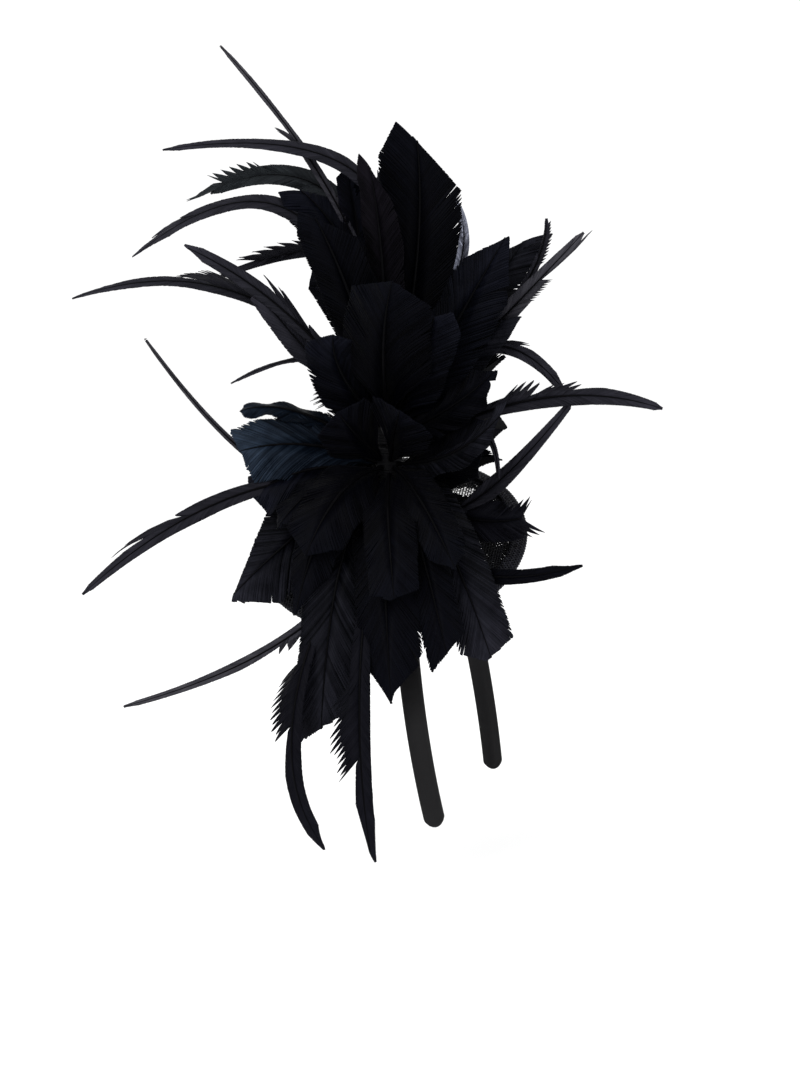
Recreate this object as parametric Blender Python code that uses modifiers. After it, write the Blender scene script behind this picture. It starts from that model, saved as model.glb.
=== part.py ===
# Feather fascinator as worn: a slim headband, a round sinamay base set over the
# wearer's right temple, and three bunches of black feathers bound to one short post.
# Metres. +Z is up, the wearer faces -Y, and the wearer's right is -X.
# The origin is the middle of the headband's underside, on the crown of the head.

import math

import bmesh
import bpy
from mathutils import Matrix, Vector

# Gap that pieces keep where one rests on another.
CLEARANCE = 0.0003

# The exact solver loses thin vanes that cross at a flat angle, so feathers use this one.
FEATHER_SOLVER = "MANIFOLD"
CRUMB_VOLUME = 1e-9

# Headband, a strip bent over the head and leaning back from the ears.
BAND_WIDTH = 0.0105
BAND_END_WIDTH = 0.0090
BAND_THICKNESS = 0.0018
BAND_HEIGHT = 0.127
BAND_HALF_SPAN = 0.074
BAND_END_INSET = 0.006
BAND_LEAN = math.radians(9.5)
BAND_SECTIONS = 32

# Sinamay base, a shallow dome tilted over the temple.
BASE_RADIUS = 0.058
BASE_DOME = 0.007
BASE_WALL = 0.0012
BASE_TILT = math.radians(35)
BASE_SIDE = 0.039
BASE_BACK = 0.0056
BASE_SEGMENTS = 40
BASE_RINGS = 5

# Bias binding folded over the edge of the base.
BINDING_WIDTH = 0.0065
BINDING_WALL = 0.0010

# Post that carries the bunches, with its foot pad stitched on the base.
STEM_RADIUS = 0.0025
STEM_HEIGHT = 0.070
FOOT_RADIUS = 0.011
FOOT_THICKNESS = 0.0036

# Sleeve of thread and wire that binds each bunch round the post.
SLEEVE_WALL = 0.0028

# How far the bunches spread from the post, and how tall they stand.
PLUME_REACH = 0.150
PLUME_HEIGHT = 0.200

# Feathers. Their flat sides look out from the wearer's head and a little upwards.
FACING_LIFT = 0.35
BROAD_WIDTH = 0.036
SLIM_WIDTH = 0.0075
QUILL_WIDTH = 0.0024
VANE_THICKNESS = 0.0010

# Stretch of the post that each bunch binds, as shares of the post's height.
SLEEVES = {
    "collar_plume": (0.16, 0.46),
    "middle_plume": (0.47, 0.74),
    "crest_plume": (0.75, 1.04),
}

# Kinds of feather: grid rows and columns, share of bare quill, share where the vane
# is full, share of the width left at the tip, and how deep the vane is folded.
KINDS = {
    "broad": dict(rows=6, columns=2, bare=0.06, full=0.42, tip=0.86, fold=0.22),
    "slim": dict(rows=7, columns=1, bare=0.20, full=0.60, tip=0.22, fold=0.0),
    "biot": dict(rows=7, columns=2, bare=0.20, full=0.60, tip=0.60, fold=0.0),
}

# How a tip is cut: where its point stands across the vane, from -1 to 1, and how
# far back each side is cut, as shares of the feather's length.
CUTS = {
    "point": dict(apex=0.0, left=0.03, right=0.03),
    "spear": dict(apex=0.1, left=0.20, right=0.24),
    "spear_left": dict(apex=-0.5, left=0.14, right=0.30),
    "spear_right": dict(apex=0.5, left=0.30, right=0.14),
    "slant_left": dict(apex=-0.9, left=0.02, right=0.26),
    "slant_right": dict(apex=0.9, left=0.26, right=0.02),
    "corner_right": dict(apex=0.9, left=0.09, right=0.01),
    "wide_spear": dict(apex=-0.1, left=0.16, right=0.45),
    "long_spear": dict(apex=-0.4, left=0.14, right=0.20),
    "sliver": dict(apex=0.3, left=0.10, right=0.08),
    "square": dict(apex=0.2, left=0.04, right=0.04),
    "round": dict(apex=0.0, left=0.12, right=0.12),
}

COLUMNS = (
    "name", "kind", "root", "back", "up", "out",
    "bow_back", "bow_up", "bow_out", "width", "turn", "cut",
)

# Feathers of each bunch. root is a share of the post's height. back and out are
# shares of the plume's reach and up is one of its height, from the foot of the post
# to the tip: back towards +Y, out towards -X. The bow columns move the middle of
# the quill's curve off the straight line. width is a share of the kind's full
# width. turn is the roll about the quill in degrees.
CREST = (
    ("tall_spear", "broad", 0.92, -0.078, 0.85, 0.03, -0.07, 0.02, 0.00, 1.03, 12, "spear_left"),
    ("tall_lead", "broad", 0.90, 0.045, 0.79, 0.10, -0.05, 0.00, 0.03, 0.55, -24, "spear_left"),
    ("small_square", "broad", 0.86, 0.125, 0.75, -0.02, 0.00, 0.02, 0.00, 0.36, 10, "square"),
    ("left_spear", "broad", 0.88, 0.29, 0.725, 0.04, -0.10, 0.10, 0.00, 0.78, 18, "spear_left"),
    ("left_grey", "broad", 0.82, 0.20, 0.67, 0.14, -0.02, 0.05, 0.05, 0.70, -8, "spear_left"),
    ("left_tuck", "broad", 0.84, 0.265, 0.565, -0.06, 0.00, 0.06, 0.00, 0.46, 20, "slant_left"),
    ("far_tall", "broad", 0.95, -0.05, 0.72, -0.12, 0.02, 0.04, -0.03, 0.86, 10, "spear"),
    ("far_second", "broad", 0.97, 0.08, 0.76, -0.15, 0.00, 0.02, -0.05, 0.80, -14, "spear_left"),
    ("far_front", "broad", 0.96, -0.165, 0.63, -0.20, 0.02, 0.06, -0.04, 0.74, 16, "slant_right"),
    ("far_back", "broad", 0.93, 0.22, 0.58, -0.22, 0.00, 0.08, -0.04, 0.78, -10, "spear"),
    ("far_low", "broad", 0.98, 0.03, 0.54, -0.30, 0.00, 0.16, -0.06, 0.84, 6, "round"),
    ("grey_wisp", "slim", 0.94, -0.165, 0.695, -0.04, -0.20, 0.06, 0.00, 0.60, 0, "point"),
    ("streamer_top", "slim", 1.00, 0.49, 1.01, 0.00, -0.24, -0.05, 0.00, 0.55, 30, "point"),
    ("streamer_arch", "slim", 1.00, 0.65, 0.79, 0.04, -0.55, 0.305, 0.02, 1.10, 20, "point"),
    ("streamer_grey", "biot", 1.00, 0.595, 0.695, -0.08, -0.24, 0.35, -0.07, 1.35, 40, "sliver"),
    ("streamer_left", "biot", 0.84, 0.73, 0.56, 0.08, -0.21, 0.464, 0.04, 1.35, 30, "sliver"),
    ("streamer_split", "slim", 0.90, 0.51, 0.52, -0.04, -0.36, 0.29, -0.02, 0.95, 20, "point"),
)
MIDDLE = (
    ("centre_oval", "broad", 0.60, -0.06, 0.51, 0.24, 0.02, 0.02, 0.10, 1.10, 0, "round"),
    ("front_spear", "broad", 0.56, -0.355, 0.605, 0.12, 0.00, 0.00, 0.04, 0.90, -10, "spear"),
    ("front_behind", "broad", 0.61, -0.42, 0.64, -0.02, -0.02, 0.02, 0.00, 0.55, 16, "slant_left"),
    ("left_round", "broad", 0.58, 0.12, 0.40, 0.18, 0.07, 0.02, 0.05, 0.74, 10, "round"),
    ("front_low", "broad", 0.54, -0.335, 0.33, 0.16, -0.03, -0.02, 0.04, 0.56, -12, "spear"),
    ("front_fill", "broad", 0.62, -0.18, 0.46, 0.18, 0.00, 0.00, 0.06, 0.80, 8, "spear_right"),
    ("left_fill", "broad", 0.62, 0.17, 0.33, 0.06, 0.04, 0.02, 0.02, 0.60, -12, "spear_left"),
    ("far_front_top", "broad", 0.64, -0.22, 0.42, -0.26, -0.02, 0.04, -0.05, 0.80, 8, "spear"),
    ("far_back_top", "broad", 0.62, 0.18, 0.40, -0.30, 0.00, 0.06, -0.05, 0.84, -12, "round"),
    ("far_front_low", "broad", 0.60, -0.29, 0.32, -0.18, 0.00, 0.04, 0.00, 0.66, 14, "slant_right"),
    ("far_back_low", "broad", 0.58, 0.24, 0.35, -0.20, 0.00, 0.07, 0.00, 0.74, -10, "spear_left"),
    ("far_side", "broad", 0.60, 0.00, 0.32, -0.40, 0.00, 0.12, -0.02, 0.90, 4, "spear"),
    ("streamer_long", "slim", 0.62, 0.91, 0.475, 0.08, -0.13, 0.27, 0.04, 1.05, 30, "point"),
    ("streamer_inner", "biot", 0.62, 0.56, 0.585, 0.14, -0.05, 0.08, 0.04, 0.95, -20, "sliver"),
    ("left_blade", "biot", 0.60, 0.365, 0.495, 0.10, 0.01, -0.01, 0.02, 1.70, 10, "point"),
    ("grey_biot", "slim", 0.50, 0.45, 0.295, 0.05, -0.17, 0.21, 0.02, 0.50, 30, "point"),
    ("curl_wisp", "slim", 0.62, -0.45, 0.64, 0.03, -0.22, 0.06, 0.00, 0.50, 0, "point"),
    ("fork_front", "slim", 0.60, -0.56, 0.61, 0.07, 0.00, -0.01, 0.02, 1.10, 10, "point"),
    ("arch_front", "biot", 0.55, -0.515, 0.27, 0.02, 0.00, 0.285, 0.00, 0.85, 20, "sliver"),
    ("ragged_front", "broad", 0.58, -0.36, 0.46, 0.07, -0.05, 0.00, 0.02, 0.40, 0, "slant_right"),
)
COLLAR = (
    ("light_petal", "broad", 0.36, -0.385, 0.26, 0.26, -0.05, -0.06, 0.08, 0.56, -34, "spear_left"),
    ("front_broad", "broad", 0.32, -0.33, 0.20, 0.16, 0.00, -0.03, 0.04, 0.72, 10, "spear_left"),
    ("blue_broad", "broad", 0.36, 0.42, 0.15, 0.13, 0.00, 0.06, 0.03, 0.92, 12, "corner_right"),
    ("arched_small", "broad", 0.40, 0.43, 0.235, 0.03, 0.05, 0.09, 0.00, 0.34, 40, "square"),
    ("blue_tip", "broad", 0.40, 0.18, 0.21, -0.05, 0.02, 0.00, 0.00, 0.44, 0, "spear"),
    ("post_left", "broad", 0.38, 0.11, 0.24, 0.17, 0.00, 0.00, 0.05, 0.80, 0, "round"),
    ("post_front", "broad", 0.38, -0.075, 0.245, 0.21, 0.00, 0.00, 0.05, 0.95, 0, "round"),
    ("post_back", "broad", 0.38, -0.05, 0.24, -0.16, 0.00, 0.00, -0.04, 0.95, 0, "round"),
    ("left_broad", "broad", 0.30, 0.365, 0.06, 0.15, 0.00, 0.07, 0.04, 0.80, 20, "square"),
    ("cupped_petal", "broad", 0.28, 0.26, 0.00, 0.26, 0.02, 0.08, 0.08, 0.64, 30, "round"),
    ("left_low", "broad", 0.26, 0.40, -0.15, 0.26, 0.00, 0.04, 0.08, 1.00, -6, "wide_spear"),
    ("hanging_square", "broad", 0.24, 0.12, -0.445, 0.34, 0.03, 0.22, 0.16, 0.78, 0, "corner_right"),
    ("hanging_tuck", "broad", 0.24, 0.20, -0.18, 0.30, 0.02, 0.15, 0.12, 0.62, 10, "spear"),
    ("hanging_notch", "broad", 0.22, -0.085, -0.345, 0.37, 0.00, 0.22, 0.16, 0.84, 6, "round"),
    ("hanging_front", "broad", 0.24, -0.245, -0.27, 0.36, 0.00, 0.18, 0.14, 0.56, 0, "corner_right"),
    ("hanging_ragged", "broad", 0.26, -0.35, -0.255, 0.31, 0.00, 0.18, 0.12, 0.74, -8, "square"),
    ("folded_small", "broad", 0.30, -0.10, -0.13, 0.40, 0.00, 0.10, 0.10, 0.66, 0, "square"),
    ("rounded_small", "broad", 0.34, -0.26, -0.07, 0.36, 0.00, 0.08, 0.10, 0.54, 0, "round"),
    ("left_fill_low", "broad", 0.34, 0.16, -0.05, 0.34, 0.00, 0.08, 0.10, 0.80, 0, "round"),
    ("far_front_a", "broad", 0.30, -0.28, 0.19, -0.32, 0.00, 0.06, -0.04, 0.84, 10, "spear"),
    ("far_middle", "broad", 0.32, 0.02, 0.21, -0.42, 0.00, 0.08, -0.04, 0.90, 0, "round"),
    ("far_back_a", "broad", 0.30, 0.30, 0.16, -0.30, 0.00, 0.07, -0.04, 0.90, -10, "spear_left"),
    ("far_front_b", "broad", 0.30, -0.28, 0.11, -0.12, 0.00, 0.05, 0.00, 0.60, 12, "slant_right"),
    ("far_back_b", "broad", 0.30, 0.38, 0.09, -0.12, 0.00, 0.06, 0.00, 0.74, -12, "spear_left"),
    ("thin_left", "slim", 0.42, 0.72, 0.39, 0.00, -0.12, -0.35, 0.00, 0.32, 0, "point"),
    ("fork_left", "slim", 0.26, 0.82, -0.145, 0.28, -0.01, 0.17, 0.06, 1.00, -10, "point"),
    ("low_left", "slim", 0.22, 0.69, -0.375, 0.32, -0.42, -0.06, 0.22, 0.65, 0, "point"),
    ("drop_left", "biot", 0.20, 0.10, -0.655, 0.35, 0.255, -0.11, 0.37, 1.20, 20, "sliver"),
    ("drop_middle", "biot", 0.20, -0.035, -0.70, 0.36, 0.04, 0.05, 0.36, 1.20, -10, "long_spear"),
    ("low_front", "biot", 0.24, -0.59, -0.06, 0.26, 0.15, -0.18, 0.10, 0.90, 20, "sliver"),
    ("long_front", "slim", 0.42, -0.79, 0.252, 0.16, -0.04, 0.135, 0.04, 1.15, 20, "point"),
    ("thin_front", "slim", 0.44, -0.33, 0.10, 0.10, -0.14, 0.17, 0.00, 0.35, 0, "point"),
    ("lance_front", "slim", 0.20, -0.54, 0.27, 0.10, 0.12, -0.26, 0.02, 1.15, 0, "point"),
    ("ragged_low", "broad", 0.20, -0.435, 0.03, 0.10, -0.03, -0.07, 0.03, 0.52, 10, "slant_right"),
)


def clear_scene():
    for old in list(bpy.data.objects):
        bpy.data.objects.remove(old, do_unlink=True)


def new_collection(name):
    collection = bpy.data.collections.new(name)
    bpy.context.scene.collection.children.link(collection)
    return collection


def principled(name, colour, roughness, metallic=0.0):
    material = bpy.data.materials.new(name)
    material.use_nodes = True
    shader = material.node_tree.nodes["Principled BSDF"]
    shader.inputs["Base Color"].default_value = (*colour, 1.0)
    shader.inputs["Roughness"].default_value = roughness
    shader.inputs["Metallic"].default_value = metallic
    return material


def new_object(name, bm, collection, material=None):
    mesh = bpy.data.meshes.new(name)
    bm.normal_update()
    bm.to_mesh(mesh)
    bm.free()
    obj = bpy.data.objects.new(name, mesh)
    collection.objects.link(obj)
    if material:
        mesh.materials.append(material)
    return obj


def make_helper(obj):
    obj.hide_render = True
    obj.display_type = "WIRE"


def add_solidify(obj, thickness, offset):
    solidify = obj.modifiers.new("wall", "SOLIDIFY")
    solidify.thickness = thickness
    solidify.offset = offset
    solidify.use_even_offset = False


def join(obj, operand, operation, solver="EXACT"):
    boolean = obj.modifiers.new(operand.name, "BOOLEAN")
    boolean.operation = operation
    boolean.solver = solver
    boolean.object = operand


def shells_of(bm):
    """Groups of faces that hang together."""
    left = set(bm.faces)
    while left:
        shell = {left.pop()}
        front = list(shell)
        while front:
            around = {face for edge in front.pop().edges for face in edge.link_faces}
            found = around & left
            left -= found
            shell |= found
            front.extend(found)
        yield shell


def volume_of(faces):
    return sum(face.verts[0].co.dot(face.verts[1].co.cross(face.verts[2].co)) for face in faces) / 6


def keep_outer_skin(obj):
    """Drop the closed pockets and crumbs that are left where vanes cross."""
    depsgraph = bpy.context.evaluated_depsgraph_get()
    mesh = bpy.data.meshes.new_from_object(obj.evaluated_get(depsgraph))
    bm = bmesh.new()
    bm.from_mesh(mesh)
    bmesh.ops.triangulate(bm, faces=bm.faces)
    spare = [shell for shell in shells_of(bm) if volume_of(shell) < CRUMB_VOLUME]
    bmesh.ops.delete(bm, geom=[face for shell in spare for face in shell], context="FACES")
    bm.to_mesh(mesh)
    bm.free()
    obj.modifiers.clear()
    obj.data = mesh


def smooth(obj, angle=40):
    obj.data.shade_smooth()
    obj.data.set_sharp_from_angle(angle=math.radians(angle))


# Headband

def band_end_angle():
    return math.pi - math.asin((BAND_HALF_SPAN - BAND_END_INSET) / BAND_HALF_SPAN)


def band_point(angle, across, height):
    """Point over the band: angle from the crown, across its width, height off its inner face."""
    drop = BAND_HEIGHT / (1 - math.cos(band_end_angle()))
    point = Vector((BAND_HALF_SPAN * math.sin(angle), 0, drop * (math.cos(angle) - 1)))
    outward = Vector((drop * math.sin(angle), 0, BAND_HALF_SPAN * math.cos(angle))).normalized()
    share = abs(angle) / band_end_angle()
    width = BAND_WIDTH + (BAND_END_WIDTH - BAND_WIDTH) * share
    point += outward * height + Vector((0, across * width / 2, 0))
    return Matrix.Rotation(-BAND_LEAN, 3, "X") @ point


def make_headband(collection):
    bm = bmesh.new()
    bmesh.ops.create_grid(bm, x_segments=4, y_segments=BAND_SECTIONS, size=1)
    round_end = BAND_END_WIDTH / 2 / BAND_HEIGHT
    for vert in bm.verts:
        across, along = vert.co.x, vert.co.y
        shortened = along * (1 - round_end * (1 - math.sqrt(1 - 0.9 * across * across)))
        vert.co = band_point(shortened * band_end_angle(), across, 0)
    band = new_object("headband", bm, collection,
                      principled("headband_satin", (0.030, 0.030, 0.033), 0.38))
    add_solidify(band, BAND_THICKNESS, -1)
    bevel = band.modifiers.new("soft_edges", "BEVEL")
    bevel.width = BAND_THICKNESS / 4
    bevel.segments = 1
    bevel.angle_limit = math.radians(50)
    return band


# Sinamay base and its binding

def base_normal():
    return Vector((-math.sin(BASE_TILT), 0, math.cos(BASE_TILT)))


def dome_drop(radius):
    return BASE_DOME * (radius / BASE_RADIUS) ** 2


def base_frame():
    """Top middle of the dome, raised until its underside clears the band."""
    normal = base_normal()
    anchor = Vector((-BASE_SIDE, BASE_BACK, 0))
    lift = -BASE_RADIUS
    samples = 4 * BAND_SECTIONS
    for step in range(-samples, samples + 1):
        for across in (-1, 0, 1):
            point = band_point(step / samples * band_end_angle(), across, BAND_THICKNESS)
            height = (point - anchor).dot(normal)
            radius = (point - anchor - normal * height).length
            if radius < BASE_RADIUS:
                lift = max(lift, height + dome_drop(radius))
    top = anchor + normal * (lift + CLEARANCE + BASE_WALL)
    side = Vector((0, 1, 0)).cross(normal)
    return Matrix.Translation(top) @ Matrix((side, (0, 1, 0), normal)).transposed().to_4x4()


def make_base(collection, frame):
    bm = bmesh.new()
    bmesh.ops.create_circle(bm, cap_ends=True, cap_tris=True, segments=BASE_SEGMENTS,
                            radius=BASE_RADIUS - BINDING_WALL - CLEARANCE)
    spokes = [edge for edge in bm.edges if not edge.is_boundary]
    bmesh.ops.subdivide_edges(bm, edges=spokes, cuts=BASE_RINGS - 1, use_grid_fill=True)
    for vert in bm.verts:
        vert.co.z = -dome_drop(vert.co.length)
    bmesh.ops.recalc_face_normals(bm, faces=bm.faces)
    base = new_object("sinamay_base", bm, collection,
                      principled("sinamay_black", (0.015, 0.015, 0.017), 0.62))
    add_solidify(base, BASE_WALL, -1)
    base.matrix_world = frame
    return base


def make_binding(collection, frame):
    """Folded strip, U-shaped in section, turned round the edge of the base."""
    slope = math.atan(2 * BASE_DOME / BASE_RADIUS)
    along = Vector((math.cos(slope), 0, -math.sin(slope)))
    above = Vector((math.sin(slope), 0, math.cos(slope)))
    rim = Vector((BASE_RADIUS - BINDING_WALL - CLEARANCE, 0, 0))
    rim.z = -dome_drop(rim.x)
    tuck = BINDING_WIDTH - BINDING_WALL
    top, under = CLEARANCE, -BASE_WALL - CLEARANCE
    section = (
        (-tuck, top + BINDING_WALL),
        (CLEARANCE, top + BINDING_WALL),
        (CLEARANCE + BINDING_WALL, top),
        (CLEARANCE + BINDING_WALL, under),
        (CLEARANCE, under - BINDING_WALL),
        (-tuck, under - BINDING_WALL),
        (-tuck, under),
        (CLEARANCE, under),
        (CLEARANCE, top),
        (-tuck, top),
    )
    bm = bmesh.new()
    corners = [bm.verts.new(rim + along * x + above * z) for x, z in section]
    for first, second in zip(corners, corners[1:] + corners[:1]):
        bm.edges.new((first, second))
    binding = new_object("base_binding", bm, collection,
                         principled("sinamay_binding", (0.012, 0.012, 0.014), 0.55))
    screw = binding.modifiers.new("turned", "SCREW")
    screw.steps = BASE_SEGMENTS
    screw.render_steps = BASE_SEGMENTS
    screw.use_merge_vertices = True
    screw.merge_threshold = 0.0001
    screw.use_normal_calculate = True
    binding.matrix_world = frame
    return binding


# Post with its foot pad

def stem_foot(frame):
    return frame @ Vector((0, 0, CLEARANCE + FOOT_THICKNESS))


def cylinder(name, radius, depth, collection, matrix, sides=16):
    bm = bmesh.new()
    bmesh.ops.create_cone(bm, cap_ends=True, segments=sides, radius1=radius,
                          radius2=radius, depth=depth)
    obj = new_object(name, bm, collection)
    obj.matrix_world = matrix
    return obj


def make_stem(collection, helpers, frame):
    foot = stem_foot(frame)
    sink = STEM_RADIUS * math.tan(BASE_TILT) + CLEARANCE
    middle = foot + Vector((0, 0, (STEM_HEIGHT - sink) / 2))
    stem = cylinder("stem", STEM_RADIUS, STEM_HEIGHT + sink, collection,
                    Matrix.Translation(middle), sides=12)
    stem.data.materials.append(principled("stem_thread", (0.020, 0.020, 0.022), 0.80))
    pad_place = frame @ Matrix.Translation((0, 0, CLEARANCE + FOOT_THICKNESS / 2))
    pad = cylinder("foot_pad", FOOT_RADIUS, FOOT_THICKNESS, helpers, pad_place, sides=20)
    make_helper(pad)
    join(stem, pad, "UNION")
    return stem


# Feathers

def cut_share(across, cut):
    """Share of the feather's length that is left at a place across its cut tip."""
    apex = cut["apex"]
    if across < apex:
        return 1 - cut["left"] * (apex - across) / (apex + 1)
    return 1 - cut["right"] * (across - apex) / (1 - apex)


def vane_half_width(share, full_width, kind):
    """Half width of the vane: bare quill, then widening, then easing to the tip."""
    quill = QUILL_WIDTH / 2
    grown = min(1.0, max(0.0, (share - kind["bare"]) / (kind["full"] - kind["bare"])))
    eased = max(0.0, (share - kind["full"]) / (1 - kind["full"]))
    half = quill + (full_width / 2 - quill) * math.sin(math.pi / 2 * grown)
    return half * (1 - (1 - kind["tip"]) * eased ** 1.5)


def make_feather(row, foot, collection):
    feather = dict(zip(COLUMNS, row))
    kind = KINDS[feather["kind"]]
    cut = CUTS[feather["cut"]]
    full_width = feather["width"] * (BROAD_WIDTH if feather["kind"] == "broad" else SLIM_WIDTH)
    root = foot + Vector((0, 0, feather["root"] * STEM_HEIGHT))
    tip = foot + Vector((-feather["out"] * PLUME_REACH, feather["back"] * PLUME_REACH,
                         feather["up"] * PLUME_HEIGHT))
    flat = Vector((tip.x - root.x, tip.y - root.y, 0)).normalized()
    root += flat * (STEM_RADIUS + CLEARANCE + SLEEVE_WALL / 2)
    bend = (root + tip) / 2 + Vector((-feather["bow_out"] * PLUME_REACH,
                                      feather["bow_back"] * PLUME_REACH,
                                      feather["bow_up"] * PLUME_HEIGHT))
    side_sign = 1 if feather["out"] >= 0 else -1
    facing = Vector((-side_sign, 0, FACING_LIFT))
    bm = bmesh.new()
    bmesh.ops.create_grid(bm, x_segments=kind["columns"], y_segments=kind["rows"], size=1)
    for vert in bm.verts:
        along_share = (vert.co.y + 1) / 2
        across = vert.co.x + (1 - abs(vert.co.x)) * cut["apex"] * along_share
        share = along_share * cut_share(across, cut)
        centre = root * (1 - share) ** 2 + bend * 2 * share * (1 - share) + tip * share ** 2
        along = ((bend - root) * (1 - share) + (tip - bend) * share).normalized()
        normal = (facing - along * facing.dot(along)).normalized()
        normal.rotate(Matrix.Rotation(math.radians(feather["turn"]), 3, along))
        sideways = along.cross(normal)
        half = vane_half_width(share, full_width, kind)
        edge = abs(vert.co.x)
        vert.co = centre + sideways * across * half - normal * kind["fold"] * half * edge
    obj = new_object(feather["name"], bm, collection)
    add_solidify(obj, VANE_THICKNESS, 0)
    make_helper(obj)
    return obj


def make_plume(name, rows, collection, helpers, frame):
    """Bunch of feathers fused to the sleeve that binds it, then bored for the post."""
    foot = stem_foot(frame)
    low, high = (share * STEM_HEIGHT for share in SLEEVES[name])
    low += CLEARANCE
    axis = Matrix.Translation(foot + Vector((0, 0, (low + high) / 2)))
    bore = STEM_RADIUS + CLEARANCE
    plume = cylinder(name, bore + SLEEVE_WALL, high - low, collection, axis)
    plume.data.materials.append(principled(name + "_feather", (0.012, 0.012, 0.016), 0.50))
    feathers = bpy.data.collections.new(name + "_feathers")
    helpers.children.link(feathers)
    for row in rows:
        make_feather(row, foot, feathers)
    for feather in feathers.objects:
        join(plume, feather, "UNION", FEATHER_SOLVER)
    bottom = low - SLEEVE_WALL
    depth = min(high + SLEEVE_WALL, STEM_HEIGHT + CLEARANCE) - bottom
    drill = cylinder(name + "_bore", bore, depth, helpers,
                     Matrix.Translation(foot + Vector((0, 0, bottom + depth / 2))))
    make_helper(drill)
    join(plume, drill, "DIFFERENCE", FEATHER_SOLVER)
    keep_outer_skin(plume)
    return plume


clear_scene()
pieces = new_collection("feather_fascinator")
cutters = new_collection("cutters")
base_place = base_frame()
smooth(make_headband(pieces))
smooth(make_base(pieces, base_place))
smooth(make_binding(pieces, base_place))
smooth(make_stem(pieces, cutters, base_place))
make_plume("crest_plume", CREST, pieces, cutters, base_place)
make_plume("middle_plume", MIDDLE, pieces, cutters, base_place)
make_plume("collar_plume", COLLAR, pieces, cutters, base_place)
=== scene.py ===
import math

import bpy
import numpy as np
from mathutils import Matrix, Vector


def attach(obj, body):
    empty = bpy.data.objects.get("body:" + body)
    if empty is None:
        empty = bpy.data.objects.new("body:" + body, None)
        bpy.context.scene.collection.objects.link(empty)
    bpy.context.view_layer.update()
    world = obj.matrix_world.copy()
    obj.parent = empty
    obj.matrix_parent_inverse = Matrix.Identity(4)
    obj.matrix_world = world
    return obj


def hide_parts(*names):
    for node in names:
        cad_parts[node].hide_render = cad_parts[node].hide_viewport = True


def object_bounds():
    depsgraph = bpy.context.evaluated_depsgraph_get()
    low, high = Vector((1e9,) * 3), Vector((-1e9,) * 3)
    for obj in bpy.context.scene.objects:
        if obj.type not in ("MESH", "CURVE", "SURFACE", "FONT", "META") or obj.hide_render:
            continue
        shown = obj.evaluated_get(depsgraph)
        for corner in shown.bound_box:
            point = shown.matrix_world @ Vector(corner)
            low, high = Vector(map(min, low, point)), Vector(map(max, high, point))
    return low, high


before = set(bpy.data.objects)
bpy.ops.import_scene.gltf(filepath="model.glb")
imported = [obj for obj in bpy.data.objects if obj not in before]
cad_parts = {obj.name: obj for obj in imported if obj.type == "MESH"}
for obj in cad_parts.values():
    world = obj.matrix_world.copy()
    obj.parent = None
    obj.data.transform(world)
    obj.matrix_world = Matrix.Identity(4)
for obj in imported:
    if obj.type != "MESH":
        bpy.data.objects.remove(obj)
cad_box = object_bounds()


# Headband
# A strip of spring steel wrapped lengthwise in black satin ribbon. The ribbon's edges
# overlap in a glued seam down the inner face, and a short tab is folded up over each end.

BAND_WIDTH = 0.0105
BAND_END_WIDTH = 0.0090
BAND_THICKNESS = 0.0018
BAND_HEIGHT = 0.127
BAND_HALF_SPAN = 0.074
BAND_END_INSET = 0.006
BAND_LEAN = math.radians(9.5)
BAND_END_ANGLE = math.pi - math.asin((BAND_HALF_SPAN - BAND_END_INSET) / BAND_HALF_SPAN)
RIBBON_THICKNESS = 0.00018
RIBBON_CROWN = 0.08
RIBBON_PUCKER = 0.00007
PUCKER_WAVES = (310, 97)
ARM_LENGTH = BAND_HEIGHT * 1.2
TAB_LENGTH = 0.009
SEAM_ACROSS = 0.25
BAND_STATIONS = 241
EDGE_CORNERS = 7
FLAT_CORNERS = 5
SATIN_BLACK = (0.0034, 0.0032, 0.0038)


def add_step(material, kind, inputs=None, **settings):
    """A shader node of this kind in a finish, with its inputs set or wired."""
    node = material.node_tree.nodes.new("ShaderNode" + kind)
    for name, value in settings.items():
        setattr(node, name, value)
    for name, value in (inputs or {}).items():
        if isinstance(value, bpy.types.NodeSocket):
            material.node_tree.links.new(value, node.inputs[name])
        else:
            node.inputs[name].default_value = value
    return node


def new_finish(name, **shine):
    """A material with its shader's constants, and the piece's lay in millimetres to pattern it."""
    material = bpy.data.materials.new(name)
    material.use_nodes = True
    shader = material.node_tree.nodes["Principled BSDF"]
    for socket, value in shine.items():
        shader.inputs[socket.replace("_", " ").title().replace("Ior", "IOR")].default_value = value
    lay = add_step(material, "Attribute", attribute_name="lay")
    return material, shader, lay.outputs["Vector"]


def colour_between(material, shader, share, dark, light):
    """The shader's colour runs from dark to light with a share from 0 to 1."""
    blend = add_step(material, "Mix", {"Factor": share}, data_type="RGBA")
    blend.inputs[6].default_value = (*dark, 1)
    blend.inputs[7].default_value = (*light, 1)
    material.node_tree.links.new(blend.outputs[2], shader.inputs["Base Color"])


def roughness_between(material, shader, share, smooth, rough):
    spread = add_step(material, "MapRange", {"Value": share, "To Min": smooth, "To Max": rough})
    material.node_tree.links.new(spread.outputs[0], shader.inputs["Roughness"])


def raise_relief(material, shader, height, distance):
    bump = add_step(material, "Bump", {"Height": height, "Distance": distance})
    material.node_tree.links.new(bump.outputs[0], shader.inputs["Normal"])


def joined(*shares):
    """Numbers side by side on a last axis, each first spread to the shape of the rest."""
    return np.stack(np.broadcast_arrays(*shares), axis=-1)


def round_circle(count):
    return np.linspace(0, 2 * math.pi, count, endpoint=False)


def tinted(colour, share):
    return tuple(channel * share for channel in colour)


def walls_between(here, ahead):
    """Four-cornered faces from rings of corners to the rings ahead of them."""
    walls = joined(here, np.roll(here, -1, -1), np.roll(ahead, -1, -1), ahead)
    return walls.reshape(-1, 4).tolist()


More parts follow.
